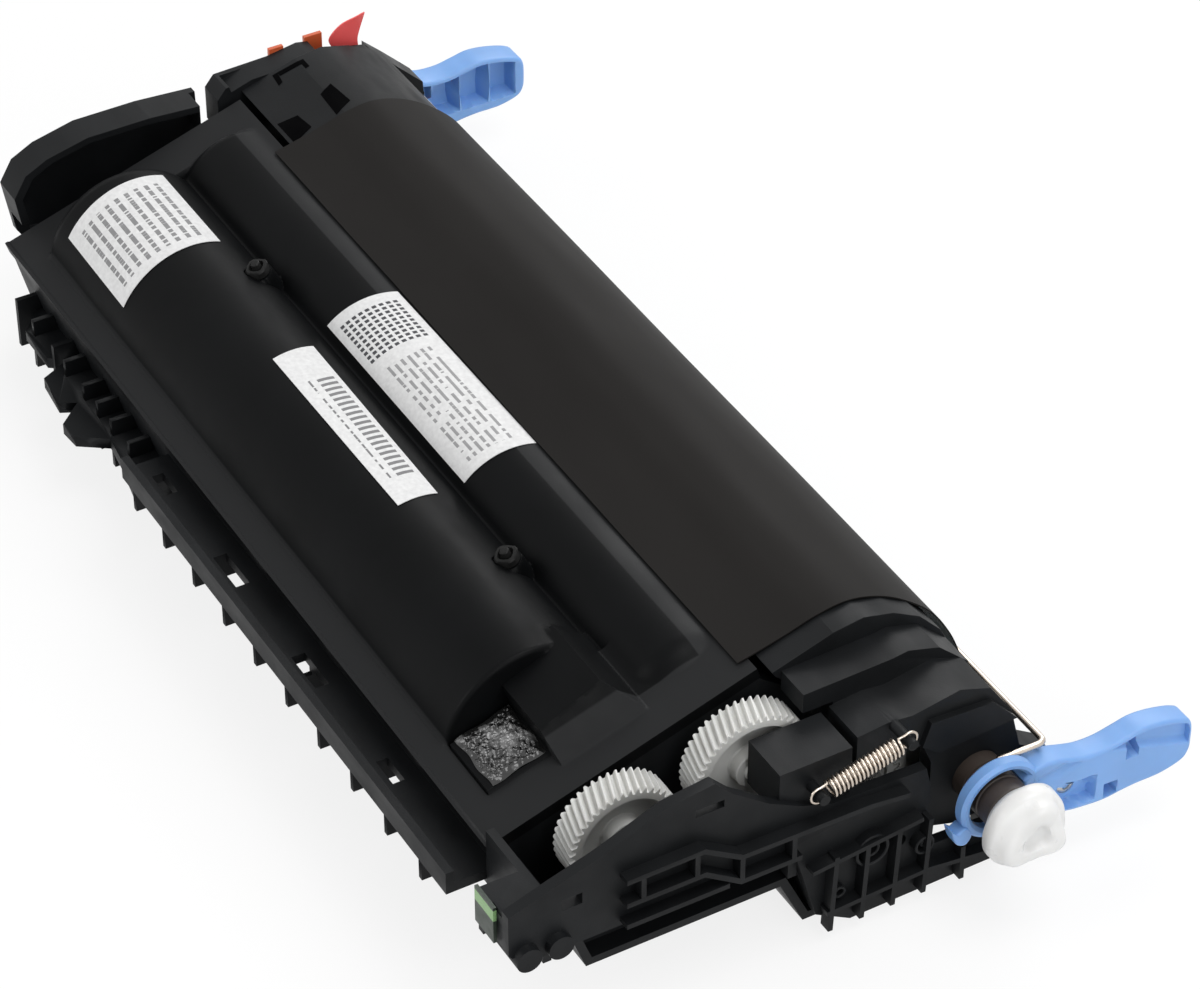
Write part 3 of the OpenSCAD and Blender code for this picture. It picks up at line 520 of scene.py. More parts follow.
def lid_top(x, s):
    """The lid's upper face: the recessed panel with its rim, plus the two barrels, the flat block at the
    drive end, the rivets' bosses and the short ribs, each joined on by a small fillet."""
    inside = (step_up(x - LID_X0 - RIM_END_W, 0.5) * step_up(LID_X1 - RIM_END_W - x, 0.5)
              * step_up(s - RIM_W, 0.5) * step_up(LID_W - RIM_W - s, 0.5))
    top = -RECESS * inside
    top = top + 0.35 * step_up(1.0 - s, 0.5)
    rib_place = np.abs((x + 99.4 + 13) % 26 - 13)
    ribs = -RECESS + 1.5 * step_up(0.6 - rib_place, 0.4) * step_up(RIM_W + 3.2 - s, 0.8) * step_up(90 - x, 1.0)
    top = np.maximum(top, np.where(inside > 0.5, ribs, -30.0))
    seat = np.where((x > 97) & (x < 115) & (s > RIM_W), 1.1 * step_up(24.4 - s, 0.6), -30.0)
    top = np.maximum(top, np.where(inside > 0.2, seat, -30.0))
    left = barrel_height(x, s, A_S, A_H, 21.4, -114.0, 96.0, 5.0, 1.2)
    right = barrel_height(x, s, B_S, B_H, 16.5, -114.0, 117.0, 4.0, 9.0)
    face = np.minimum(6.9 + 0.085 * (s - 24), 8.2 - 1.5 * (s - 40.5))
    slope = 9.6 - 1.19 * (x - 110.5)
    block = np.where((s > 23.6) & (s < 47.5) & (x > 90) & (x < 119.5), np.minimum(face, slope), -30.0)
    top = larger(top, left, 0.9)
    top = larger(top, right, 0.9)
    top = larger(top, block, 0.5)
    for at in RIVET_X:
        reach = np.hypot(x - at, s - RIVET_S)
        top = larger(top, np.where(reach < 6, RIVET_H - 0.05 - 6 * np.clip(reach - 3.3, 0, None), -30.0), 0.3)
        top = np.where(reach < 2.95, RIVET_H - 0.05, top)
    return top


def lid_underside(x, s):
    """The lid's lower face: flat, but hollowed into the two barrels."""
    left = barrel_height(x, s, A_S, A_H, 19.6, -111.3, 94.0, 0.6, 0.6)
    right = barrel_height(x, s, B_S, B_H, 14.7, -111.3, 107.0, 0.6, 0.6)
    return np.maximum(-LID_T, np.maximum(left, right))


def spaced(low, high, pitch, *fine):
    """Grid lines about a pitch apart, with extra ones inside each (low, high, pitch) stretch of fine."""
    lines = [np.linspace(low, high, int(round((high - low) / pitch)) + 1)]
    for a, b, step in fine:
        lines.append(np.arange(a, b + step / 2, step))
    every = np.unique(np.round(np.clip(np.concatenate(lines), low, high), 3))
    keep = np.concatenate([[True], np.diff(every) > 0.06])
    return every[keep]


def on_lid(x, s, h):
    return np.stack([x, LID_Y + s * math.cos(LID_TILT) - h * math.sin(LID_TILT),
                     LID_Z + s * math.sin(LID_TILT) + h * math.cos(LID_TILT)], -1)


def lid_surface():
    """Upper and lower height fields over the same grid of x and s, closed by a strip round the edge."""
    lines_x = spaced(LID_X0, LID_X1, 1.6, (-114.4, -108.5, 0.35), (-112.4, -111.6, 0.2), (94, 97.6, 0.2),
                     (98, 121, 0.5), (113.6, 114.4, 0.2), (-64, -56, 0.35), (60, 68, 0.35))
    lines_s = spaced(0, LID_W, 0.7, (7.1, 7.9, 0.2), (0.5, 1.5, 0.25), (38, 49, 0.3), (23, 25.4, 0.25),
                     (61.6, 62.6, 0.2))
    x, s = np.meshgrid(lines_x, lines_s, indexing="ij")
    top, low = on_lid(x, s, lid_top(x, s)), on_lid(x, s, lid_underside(x, s))
    panel = (step_up(x - LID_X0 - RIM_END_W, 0.5) * step_up(LID_X1 - RIM_END_W - x, 0.5)
             * step_up(s - RIM_W, 0.5) * step_up(LID_W - RIM_W - s, 0.5))
    # The UV's first value, 1 - panel, marks the rim, where the shell's colour is painted paler for the light the rim
    # catches.
    made = Surface().grid(top, uv=np.stack([1 - panel, s / LID_W], -1)).grid(low[:, ::-1])
    for upper, lower in ((top[0], low[0]), (top[-1], low[-1]), (top[:, 0], low[:, 0]), (top[:, -1], low[:, -1])):
        made.grid(np.stack([upper, lower]))
    return made.made("trough_lid", BLACK_SHELL_PAINTED_RIM, "hopper_unit", ["hopper_lid"], sharp=40)


lid_surface()


def lid_rivet(at):
    """A staked rivet: a profile of rings about its own axis, with a dished top and a small centre stake."""
    rings = np.array([(0, 0.2), (2.8, 0.2), (2.8, 1.9), (2.5, 2.25), (1.9, 2.3), (1.5, 1.2), (1.3, 1.1),
                      (1.1, 3.2), (0.8, 3.45), (0, 3.5)])
    turn = np.linspace(0, 2 * np.pi, 28, endpoint=False)
    r, h = rings[:, :1], rings[:, 1:]
    notch = 1 + 0.05 * np.sign(np.cos(4 * turn)) * (h > 1.8)
    return on_lid(at + r * np.cos(turn) * notch, RIVET_S + r * np.sin(turn) * notch, RIVET_H + h + 0 * turn)


rivets = Surface()
for rivet_x in RIVET_X:
    rivets.grid(lid_rivet(rivet_x), round_columns=True)
rivets.made("stake_heads", BLACK_SOFT, "hopper_unit", ["lid_rivets"])


# Light shield: the soft sheet over the drum side

SHEET_LINE = [lid_point(67, 0.62), (21, 57.0), (28.7, 59.1), (36.4, 61.5), (44.1, 62.45), (51.9, 60.4),
              (58.9, 56.3), (65.8, 50), (70.8, 42), (74, 34.2)]


def shield_surface():
    """The sheet's line carried along X between two slanting ends, with a slow ripple across it, as an upper
    and a lower face 0.35 apart."""
    line = curve_through(SHEET_LINE, 10)
    share = np.linspace(0, 1, len(line))[None, :]
    run = np.linspace(0, 1, 150)[:, None]
    x = (-98.9 + 2.0 * share) * (1 - run) + (122.3 + 1.5 * share) * run
    tangent = np.gradient(line, axis=0)
    normal = np.stack([-tangent[:, 1], tangent[:, 0]], -1) / np.linalg.norm(tangent, axis=1)[:, None]
    ripple = 0.16 * np.sin(x / 17 + 5 * share) * np.sin(np.pi * share)**2 + 0.1 * np.sin(x / 7.3) * (1 - share)**6
    faces = []
    for off in (0.3, -0.05):
        y = line[None, :, 0] + normal[None, :, 0] * (off + ripple)
        z = line[None, :, 1] + normal[None, :, 1] * (off + ripple)
        faces.append(np.stack([x, y, z], -1))
    top, low = faces
    made = Surface().grid(top).grid(low[:, ::-1])
    for a, b in ((top[0], low[0]), (top[-1], low[-1]), (top[:, 0], low[:, 0]), (top[:, -1], low[:, -1])):
        made.grid(np.stack([a, b]))
    return made.made("shield_sheet", SHEET, "drum_unit", ["light_shield_sheet"])


shield_surface()


# Paper labels

def barrel_label(name, node, material, centre, r, corners, lift=0.12):
    """A paper label wrapped on a barrel: x and the angle off the lid's upright are blended between four
    corners given as (x, degrees), and the sheet is 0.14 thick."""
    (x00, a00), (x10, a10), (x11, a11), (x01, a01) = corners
    u, v = np.meshgrid(np.linspace(0, 1, 60), np.linspace(0, 1, 36), indexing="ij")
    x = (x00 * (1 - u) + x10 * u) * (1 - v) + (x01 * (1 - u) + x11 * u) * v
    angle = np.radians((a00 * (1 - u) + a10 * u) * (1 - v) + (a01 * (1 - u) + a11 * u) * v) - LID_TILT
    uv = np.stack([u, v], -1)
    faces = []
    for off in (lift + 0.14, lift):
        faces.append(np.stack([x, centre[0] + (r + off) * np.sin(angle), centre[1] + (r + off) * np.cos(angle)], -1))
    top, low = faces
    made = Surface().grid(top, uv=uv).grid(low[:, ::-1])
    for a, b in ((top[0], low[0]), (top[-1], low[-1]), (top[:, 0], low[:, 0]), (top[:, -1], low[:, -1])):
        made.grid(np.stack([a, b]))
    return made.made(name, material, "hopper_unit", [node])


barrel_label("left_label", "label_left", LABEL_LINES, TROUGH_A, 21.4,
             [(-104.7, -39.4), (-72.4, -40.4), (-75.0, 43.2), (-107.1, 42.5)])
barrel_label("centre_label", "label_centre", LABEL_SQUARES, TROUGH_B, 16.5,
             [(-35.9, -34.5), (32.5, -34.5), (34.3, 33.5), (-32.5, 32)])
barrel_label("strip_label", "label_bars", LABEL_BARS, TROUGH_A, 21.4,
             [(-24, 12.9), (38.3, 13.5), (36.6, 43.2), (-26.6, 45.2)])


# Helical gears

GEAR_MODULE, PRESSURE, GEAR_X0, GEAR_X1, HELIX = 0.6, math.radians(20), 130.0, 137.5, math.radians(18)


def tooth_profile(teeth, phase):
    """Radius and angle round a gear: for each tooth its root, two involute flanks and its tip, from the
    involute of the base circle."""
    pitch = GEAR_MODULE * teeth / 2
    base = pitch * math.cos(PRESSURE)
    root, tip = pitch - 1.25 * GEAR_MODULE, pitch + 0.96 * GEAR_MODULE
    flank = np.linspace(max(root + 0.1, base), tip, 4)
    involute = np.sqrt((flank / base)**2 - 1) - np.arccos(base / flank)
    half = math.pi / 2 / teeth + (math.tan(PRESSURE) - PRESSURE) - involute - 0.05 / pitch
    radius = np.concatenate([[root], flank, [tip], flank[::-1], [root]])
    angle = np.concatenate([[-half[0] * 1.15], -half, [0], half[::-1], [half[0] * 1.15]])
    turn = 2 * math.pi * np.arange(teeth)[:, None] / teeth + phase
    return np.tile(radius, teeth), (turn + angle).ravel()


def gear_surface(name, node, body, centre, teeth, phase, hand, bore, hub):
    """A gear as one closed run of rings: out along the back face, forward along the twisted teeth with
    their edges broken, in over the front rim, down into the web and out along the hub to the bore."""
    radius, angle = tooth_profile(teeth, phase)
    root = GEAR_MODULE * teeth / 2 - 1.25 * GEAR_MODULE
    twist = hand * math.tan(HELIX) / (GEAR_MODULE * teeth / 2)
    rim = root - 1.6
    deep = GEAR_X0 + 4.5
    web = [(GEAR_X1 - 0.15, rim - 0.15), (deep + 0.3, rim - 0.2), (deep, rim - 0.5),
           (deep, (hub + rim) / 2), (deep, hub + 0.4), (deep + 0.3, hub + 0.1), (GEAR_X1 - 0.2, hub)]
    stations = [(GEAR_X0, bore), (GEAR_X0, hub), (GEAR_X0, rim)]
    after = [(GEAR_X1, rim)] + (web if rim > hub + 0.8 else []) + [(GEAR_X1, hub - 0.2), (GEAR_X1, bore)]
    rings = [np.stack([np.full(len(angle), x), centre[0] + r * np.cos(angle), centre[1] + r * np.sin(angle)], -1)
             for x, r in stations]
    for x, inset in [(GEAR_X0, 0.25), (GEAR_X0 + 0.25, 0)] + [(v, 0) for v in np.linspace(132, 136, 4)] + [
            (GEAR_X1 - 0.25, 0), (GEAR_X1, 0.25)]:
        turn = angle + twist * (x - GEAR_X0)
        r = np.maximum(radius - inset, root - 0.05)
        rings.append(np.stack([np.full(len(angle), x), centre[0] + r * np.cos(turn), centre[1] + r * np.sin(turn)], -1))
    turn = angle + twist * (GEAR_X1 - GEAR_X0)
    rings += [np.stack([np.full(len(angle), x), centre[0] + r * np.cos(turn), centre[1] + r * np.sin(turn)], -1)
              for x, r in after]
    shape = Surface().grid(np.array(rings), round_columns=True)
    shape.grid(np.array([rings[-1], rings[0]]), round_columns=True)
    return shape.made(name, GEAR_WHITE, body, [node], sharp=28)


def mesh_distance(n, k):
    return GEAR_MODULE * (n + k) / 2 + 0.03


def direction(degrees):
    return np.array([math.cos(math.radians(degrees)), math.sin(math.radians(degrees))])


def bearing(p, q):
    return math.degrees(math.atan2(q[1] - p[1], q[0] - p[0]))


def third_centre(p, r, q, s):
    """The place at r from p and s from q, on the left of the line from p to q."""
    d = float(np.hypot(*(np.asarray(q) - p)))
    return p + r * direction(bearing(p, q) + math.degrees(math.acos((r * r + d * d - s * s) / (2 * r * d))))


def meshed(p, n, phase, q, k):
    """Phase in degrees of a gear of k teeth at q that runs in one of n teeth at p."""
    return bearing(q, p) - (phase - bearing(p, q)) * n / k + 180 / k


DRUM_AT = np.array([61.5, 25.4])
A_AT, B_AT = np.array(TROUGH_A), np.array(TROUGH_B)
DEVELOPER_AT = DRUM_AT + mesh_distance(42, 26) * direction(186.7)
SUPPLY_AT = DEVELOPER_AT + mesh_distance(26, 24) * direction(219)
IDLER_A_AT = third_centre(DEVELOPER_AT, mesh_distance(26, 20), B_AT, mesh_distance(46, 20))
IDLER_B_AT = third_centre(B_AT, mesh_distance(46, 20), A_AT, mesh_distance(44, 20))
DRUM_PHASE = bearing(DRUM_AT, DEVELOPER_AT)
DEVELOPER_PHASE = meshed(DRUM_AT, 42, DRUM_PHASE, DEVELOPER_AT, 26)
SUPPLY_PHASE = meshed(DEVELOPER_AT, 26, DEVELOPER_PHASE, SUPPLY_AT, 24)
IDLER_A_PHASE = meshed(DEVELOPER_AT, 26, DEVELOPER_PHASE, IDLER_A_AT, 20)
GEAR_B_PHASE = meshed(IDLER_A_AT, 20, IDLER_A_PHASE, B_AT, 46)
IDLER_B_PHASE = meshed(B_AT, 46, GEAR_B_PHASE, IDLER_B_AT, 20)
GEAR_A_PHASE = meshed(IDLER_B_AT, 20, IDLER_B_PHASE, A_AT, 44)

for name, node, body, at, teeth, phase, hand, bore, hub in [
        ("left_trough_gear", "agitator_gear_a", "agitator_left", A_AT, 44, GEAR_A_PHASE, 1, 2.5, 4.5),
        ("right_trough_gear", "agitator_gear_b", "agitator_right", B_AT, 46, GEAR_B_PHASE, 1, 2.5, 4.5),
        ("idler_near_roller", "idler_gear_a", "idler_a", IDLER_A_AT, 20, IDLER_A_PHASE, -1, 1.55, 3),
        ("idler_between_troughs", "idler_gear_b", "idler_b", IDLER_B_AT, 20, IDLER_B_PHASE, -1, 1.55, 3),
        ("roller_gear", "developer_gear", "developer", DEVELOPER_AT, 26, DEVELOPER_PHASE, 1, 3, 4.6),
        ("supply_roller_gear", "supply_gear", "supply", SUPPLY_AT, 24, SUPPLY_PHASE, -1, 2.5, 4)]:
    gear_surface(name, node, body, at, teeth, math.radians(phase), hand, bore, hub)


# Tension spring over the drive cover

HOOK_A, HOOK_B = np.array([17.4, 43.8]), np.array([39.2, 49.5])


def spring_surface():
    """Round wire along one path: a loop round the first post, the close coil as a helix, and a loop round
    the second post."""
    x0, wire, coil_r, loop_r, turns = 155.0, 0.33, 1.97, 1.95, 18
    seat = loop_r - wire - 1.3 - 0.03
    unit = (HOOK_B - HOOK_A) / np.linalg.norm(HOOK_B - HOOK_A)
    side = np.array([-unit[1], unit[0]])
    start = loop_r + 0.6 - seat
    length = np.linalg.norm(HOOK_B - HOOK_A) - 2 * start
    first = np.radians(np.arange(330, 69, -10.0))
    loop_a = np.stack([np.full(len(first), x0), *(HOOK_A[:, None] - unit[:, None] * seat + loop_r * (
        np.cos(first) * unit[:, None] + np.sin(first) * side[:, None]))], -1)
    t = np.linspace(0, 1, turns * 22 + 1)
    turn = np.radians(90) + 2 * np.pi * turns * t
    middle = HOOK_A[:, None] + unit[:, None] * (start + length * t) + side[:, None] * coil_r * np.sin(turn)
    helix = np.stack([x0 + coil_r * np.cos(turn), *middle], -1)
    last = np.radians(np.arange(110, -151, -10.0))
    loop_b = np.stack([np.full(len(last), x0), *(HOOK_B[:, None] + unit[:, None] * seat + loop_r * (
        np.cos(last) * unit[:, None] + np.sin(last) * side[:, None]))], -1)
    path = np.vstack([loop_a, helix, loop_b])
    hint = np.vstack([np.tile([1.0, 0, 0], (len(loop_a), 1)), np.tile([0, *unit], (len(helix), 1)),
                      np.tile([1.0, 0, 0], (len(loop_b), 1))])
    return Surface().grid(tube(path, wire, 8, hint), round_columns=True).made(
        "coil_spring", SPRING, ("hopper_unit", "drum_unit", (x0 / 1000, *(HOOK_A + 2.6 * unit) / 1000),
                                (x0 / 1000, *(HOOK_B - 2.6 * unit) / 1000)), ["tension_spring"], sharp=60)


spring_surface()


# Drum coupling

def coupling_surface():
    """Rings round the drum's axis whose radius swells three times a turn in front of the flange, so that
    the front stands up in three rounded lobes about a hollow."""
    turn = np.linspace(0, 2 * np.pi, 96, endpoint=False)
    lobe = 0.5 + 0.5 * np.cos(3 * (turn - math.radians(80)) + 0.5 * np.sin(turn))
    stations = [(164.4, 4.1, 0), (164.4, 7.2, 0), (165.6, 8.4, 0.2), (166.6, 9.5, 0.4), (167.4, 9.9, 0.7),
                (169.8, 9.8, 0.8), (170.7, 9.3, 1.0), (171.2, 8.3, 1.7), (172.8, 7.6, 2.3), (173.7, 6.9, 2.4),
                (174.1, 5.9, 2.2), (174.2, 4.6, 1.5), (173.8, 3.5, 0.6), (172.6, 2.9, 0.2), (172.2, 2.2, 0),
                (171.9, 1.2, 0), (171.8, 0, 0)]
    rings = []
    for x, r, swell in stations:
        radius = r + swell * (lobe**1.5 - 0.35)
        forward = x + (0.6 * (lobe - 0.6) if 173 < x and r > 3.5 else 0)
        rings.append(np.stack([forward + 0 * turn, DRUM_AT[0] + radius * np.cos(turn),
                               DRUM_AT[1] + radius * np.sin(turn)], -1))
    back = turned(DRUM_AT, [(164.4, 4.1), (169.6, 4.1), (169.6, 0)], 96)
    shape = Surface().grid(np.array(rings), round_columns=True).grid(back[::-1], round_columns=True)
    return shape.made("drive_coupling", COUPLING_WHITE, "drum", ["drum_coupling"], sharp=50)


coupling_surface()


# Raised rings and bosses on the drive cover's outer face

def cover_rings():
    """Square-edged profiles of x and radius carried round axes along X."""
    shape = Surface()
    for y, z, outer, inner, front in ((31.5, 21.1, 4.3, 3.5, 155.4), (31.5, 21.1, 2.2, 1.5, 154.9),
                                      (45.0, 16.4, 2.5, 1.8, 155.6), (45.0, 16.4, 0.9, 0.2, 155.0),
                                      (24.0, 11.5, 1.6, 0.9, 154.6)):
        profile = [(152.8, inner), (152.8, outer), (front - 0.2, outer), (front, outer - 0.2),
                   (front, inner + 0.2), (front - 0.2, inner), (152.8, inner)]
        shape.grid(turned((y, z), profile, 40), round_columns=True)
    obj = shape.made("cover_rings", BLACK, "hopper_unit")


cover_rings()


# Blue release levers

LEVER_LINE = [(67, 28.6), (69.5, 30.4), (72.5, 31.0), (76, 30.6), (80, 29.3), (84, 28.2), (89, 28.0), (94, 28.9),
              (98.5, 29.7), (104, 29.1), (110, 27.3), (112.1, 25.2), (112.4, 20), (111.9, 17), (110, 14.9),
              (104.5, 13.5), (98, 13.4), (94, 13.1), (89.8, 12.6), (85, 12.9), (79, 13.9), (74, 16.4),
              (70, 19.3), (67.5, 24)]
LEVER_SPINE = np.array([(71.5, 26), (80, 22), (90, 20.8), (100, 21.4), (107, 21)])


def closed_curve(points, per_span):
    """A smooth closed curve through a ring of points."""
    p = np.asarray(points, float)
    return curve_through(np.vstack([p, p[:1]]), per_span)[:-1]


def foot_on(spine, p, pitch):
    """The nearest of the stations, a pitch apart along a line of points, for each of many points."""
    length = np.concatenate([[0], np.cumsum(np.linalg.norm(np.diff(spine, axis=0), axis=1))])
    at = np.linspace(0, length[-1], int(length[-1] / pitch) + 1)
    stations = np.stack([np.interp(at, length, spine[:, k]) for k in (0, 1)], -1)
    return stations[np.argmin(np.linalg.norm(p[:, None] - stations[None], axis=2), axis=1)]


def plate_surface(shape, outline, spine, back, front, rounding, relief_front, relief_back):
    """A thick plate with rounded edges: its outline drawn in towards a spine, once for each face, and
    joined round the edge by quarter circles. The reliefs move each face in by an amount worked out from
    y and z."""
    foot = foot_on(spine, outline, 1.8)
    reach = np.linalg.norm(foot - outline, axis=1, keepdims=True)
    inward = (foot - outline) / reach
    rows = []
    quarter = np.linspace(0, np.pi / 2, 5)
    steps = np.linspace(0, 1, 26)[1:]

    def ring(inset, x, relief, sign):
        yz = outline + inward * np.minimum(inset, reach)
        moved = x - sign * relief(yz[:, 0], yz[:, 1]) if relief else np.full(len(yz), x)
        return np.column_stack([moved, yz])

    for share in steps[::-1]:
        rows.append(ring(rounding + (reach - rounding) * share, back, relief_back, -1))
    for a in quarter[::-1]:
        rows.append(ring(rounding * (1 - math.cos(a)), back + rounding * (1 - math.sin(a)), None, -1))
    for a in quarter:
        rows.append(ring(rounding * (1 - math.cos(a)), front - rounding * (1 - math.sin(a)), None, 1))
    for share in steps:
        rows.append(ring(rounding + (reach - rounding) * share, front, relief_front, 1))
    shape.grid(np.array(rows), round_columns=True)


def pit(y, z, y0, y1, z0, z1, depth, draft=0.5):
    """Depth of a sunk rectangle with drafted sides."""
    return depth * step_up(y - y0, draft) * step_up(y1 - y, draft) * step_up(z - z0, draft) * step_up(z1 - z, draft)


def near_relief(y, z):
    """Outer face of the drive side lever: its grip slopes away at the tip, and the root carries the slot,
    the notch and the seat about the screw."""
    grip = 1.5 * step_up(z - 26.4 + 0.34 * (y - 94), 1.6) * step_up(y - 88, 6)
    seat = pit(y, z, 76.6, 86.5, 14.6, 21.6, 3.0, 0.8)
    slot = pit(y, z, 95.3, 97.6, 22.8, 27.6, 4.5)
    notch = pit(y, z, 89.6, 92.4, 13.0, 17.2, 4.5)
    groove = 0.7 * np.exp(-(((z - 26 - 0.2 * (y - 70)) / 1.2)**2)) * step_up(82 - y, 2)
    return np.maximum.reduce([grip, seat, slot, notch, groove])


def far_relief(y, z):
    """Inner face of the idle side lever: three deep pockets between ribs."""
    pockets = np.maximum.reduce([pit(y, z, a, a + 7, 16.6, 30.6, 5.0, 0.7) for a in (85, 93.5, 102)])
    return np.maximum(pockets * step_up(36.4 - z - 0.45 * np.maximum(y - 94, 0), 1.0),
                      pit(y, z, 76.5, 83.5, 17, 30, 3.2, 0.7))


def screw_seat(y, z):
    return pit(y, z, 77.6, 83.4, 16.1, 21.9, 2.6, 0.6)


def collar(shape, centre, inner, outer, back, front, start, end, rounding=0.8):
    """A rounded bar carried round an arc about the drum's axis, closed at both ends."""
    turn = np.radians(np.linspace(start, end, 90))
    corner = [(back + rounding, outer), (front - rounding, outer), (front, outer - rounding),
              (front, inner + rounding), (front - rounding, inner), (back + rounding, inner),
              (back, inner + rounding), (back, outer - rounding)]
    x, r = np.array(corner, float).T
    rings = np.stack([np.broadcast_to(x, (len(turn), 8)), centre[0] + r * np.cos(turn)[:, None],
                      centre[1] + r * np.sin(turn)[:, None]], -1)
    middle = rings.mean(axis=1, keepdims=True)
    rings = np.concatenate([np.repeat(middle[:1], 8, 1), rings, np.repeat(middle[-1:], 8, 1)])
    shape.grid(rings, round_columns=True)


def near_lever():
    shape = Surface()
    plate_surface(shape, closed_curve(LEVER_LINE, 12), LEVER_SPINE, 153.8, 160.0, 0.9, near_relief, None)
    collar(shape, DRUM_AT, 7.9, 10.2, 156.2, 160.0, 12, 292)
    hook = closed_curve([(50.0, 20.4), (52.8, 21.4), (54.2, 18.6), (52.6, 16.4), (50.2, 17.6), (48.9, 21.6)], 6)
    plate_surface(shape, hook, np.array([(51.0, 19.8), (52.6, 18.6)]), 156.2, 160.0, 0.6, None, None)
    shape.grid(turned((80.5, 19), [(149.5, 0), (149.5, 3.2), (149.7, 3.4), (154.4, 3.4), (154.4, 0)], 40),
               round_columns=True)
    return shape.made("drive_lever", BLUE, "drum_unit", ["drive_side_handle"], sharp=40)


def far_lever():
    shape = Surface()
    plate_surface(shape, closed_curve(LEVER_LINE, 12), LEVER_SPINE, -152.0, -144.0, 1.1, far_relief, screw_seat)
    return shape.made("idle_lever", BLUE, "drum_unit", ["idle_side_handle"], sharp=40)


near_lever()
far_lever()


# Turned pieces about the drum's axis, and the lever screws

def drum_end_pieces():
    """Profiles of x and radius carried round their axes."""
    bearing_ring = [(138.5, 4.05), (138.5, 5.9), (139, 6), (153, 6), (153.2, 5.6), (153.8, 5.6), (154, 6), (158.6, 6),
                    (158.8, 5.7), (159.3, 5.7), (159.5, 6), (163, 6), (163.5, 5.6), (163.5, 4.05), (138.5, 4.05)]
    Surface().grid(turned(DRUM_AT, bearing_ring), round_columns=True).made(
        "drum_bush", BROWN, "drum_unit", ["drum_bearing"], sharp=35)
    pin = [(-150, 0), (-150, 2.4), (-149.4, 3), (-144, 3), (-143.9, 2.6), (-106, 2.6), (-106, 0)]
    Surface().grid(turned(DRUM_AT, pin), round_columns=True).made("locating_pin", STEEL, "drum_unit", ["drum_pin"])
    screws = Surface()
    for profile in ([(145, 0), (145, 1.2), (156, 1.2), (156, 2.2), (156.3, 2.4), (157.1, 2.2), (157.4, 1.5),
                     (157.4, 1.0), (156.7, 0.8), (156.6, 0)],
                    [(-138, 0), (-138, 1.2), (-148, 1.2), (-148, 2.2), (-148.3, 2.4), (-149.1, 2.2), (-149.4, 1.5),
                     (-149.4, 1.0), (-148.7, 0.8), (-148.6, 0)]):
        screws.grid(turned((80.5, 19), profile, 36), round_columns=True)
    screws.made("lever_screws", STEEL, "drum_unit", ["handle_screws"])


drum_end_pieces()


# Shield wire: a bright rod along the drum side, turned in over the drive end

def wire_surface():
    """A round wire along its path, with the corner at the drive end rounded."""
    straight = np.column_stack([np.linspace(-137.2, 153.6, 40), np.full(40, 75.2), np.full(40, 33.0)])
    arm = curve_through([(153.6, 75.2, 33), (154.6, 75.0, 33), (155.2, 74.3, 33), (155.4, 73.2, 33),
                         (155.4, 70, 33.05), (155.4, 66, 33.15), (155.4, 62.8, 33.3)], 4)
    path = np.vstack([straight, arm[1:]])
    return Surface().grid(tube(path, 0.8, 12, (0, 1, 1)), round_columns=True).made(
        "guard_wire", SPRING, "drum_unit", ["shield_wire"], sharp=60)


wire_surface()


# Clear tape over the fill plug, creased where it was pressed down

def creased_tape():
    """A thin sheet over the fill recess whose height is a sum of folded waves at slanting angles, the folds
    sharp because each wave's size is taken without its sign."""
    u, v = np.meshgrid(np.linspace(0, 1, 90), np.linspace(0, 1, 80), indexing="ij")
    x = 97.1 + 16.8 * u + 0.5 * np.sin(9 * v) * (u - 0.5)
    s = 9.1 + 13.8 * v + 0.5 * np.sin(11 * u + 1) * (v - 0.5)
    fold = np.zeros_like(x)
    for scale, angle, shift, size in ((0.9, 0.5, 0.3, 0.5), (1.5, 2.1, 1.4, 0.3), (2.3, 1.1, 2.2, 0.22),
                                      (3.4, 2.8, 0.6, 0.16), (1.2, -0.4, 0.9, 0.35), (4.6, 0.1, 1.9, 0.08)):
        wave = np.sin(scale * (x * math.cos(angle) + s * math.sin(angle)) + shift + 1.3 * np.sin(0.5 * s + shift))
        fold += size * (1 - np.abs(wave))
    edge = np.minimum.reduce([u, 1 - u, v, 1 - v])
    height = 1.25 + np.clip(fold, 0, 1.5) * np.clip(edge * 9, 0.05, 1)
    top, low = on_lid(x, s, height + 0.1), on_lid(x, s, height)
    made = Surface().grid(top).grid(low[:, ::-1])
    for a, b in ((top[0], low[0]), (top[-1], low[-1]), (top[:, 0], low[:, 0]), (top[:, -1], low[:, -1])):
        made.grid(np.stack([a, b]))
    return made.made("creased_tape", TAPE, "hopper_unit", ["seal_tape"], sharp=22)


creased_tape()
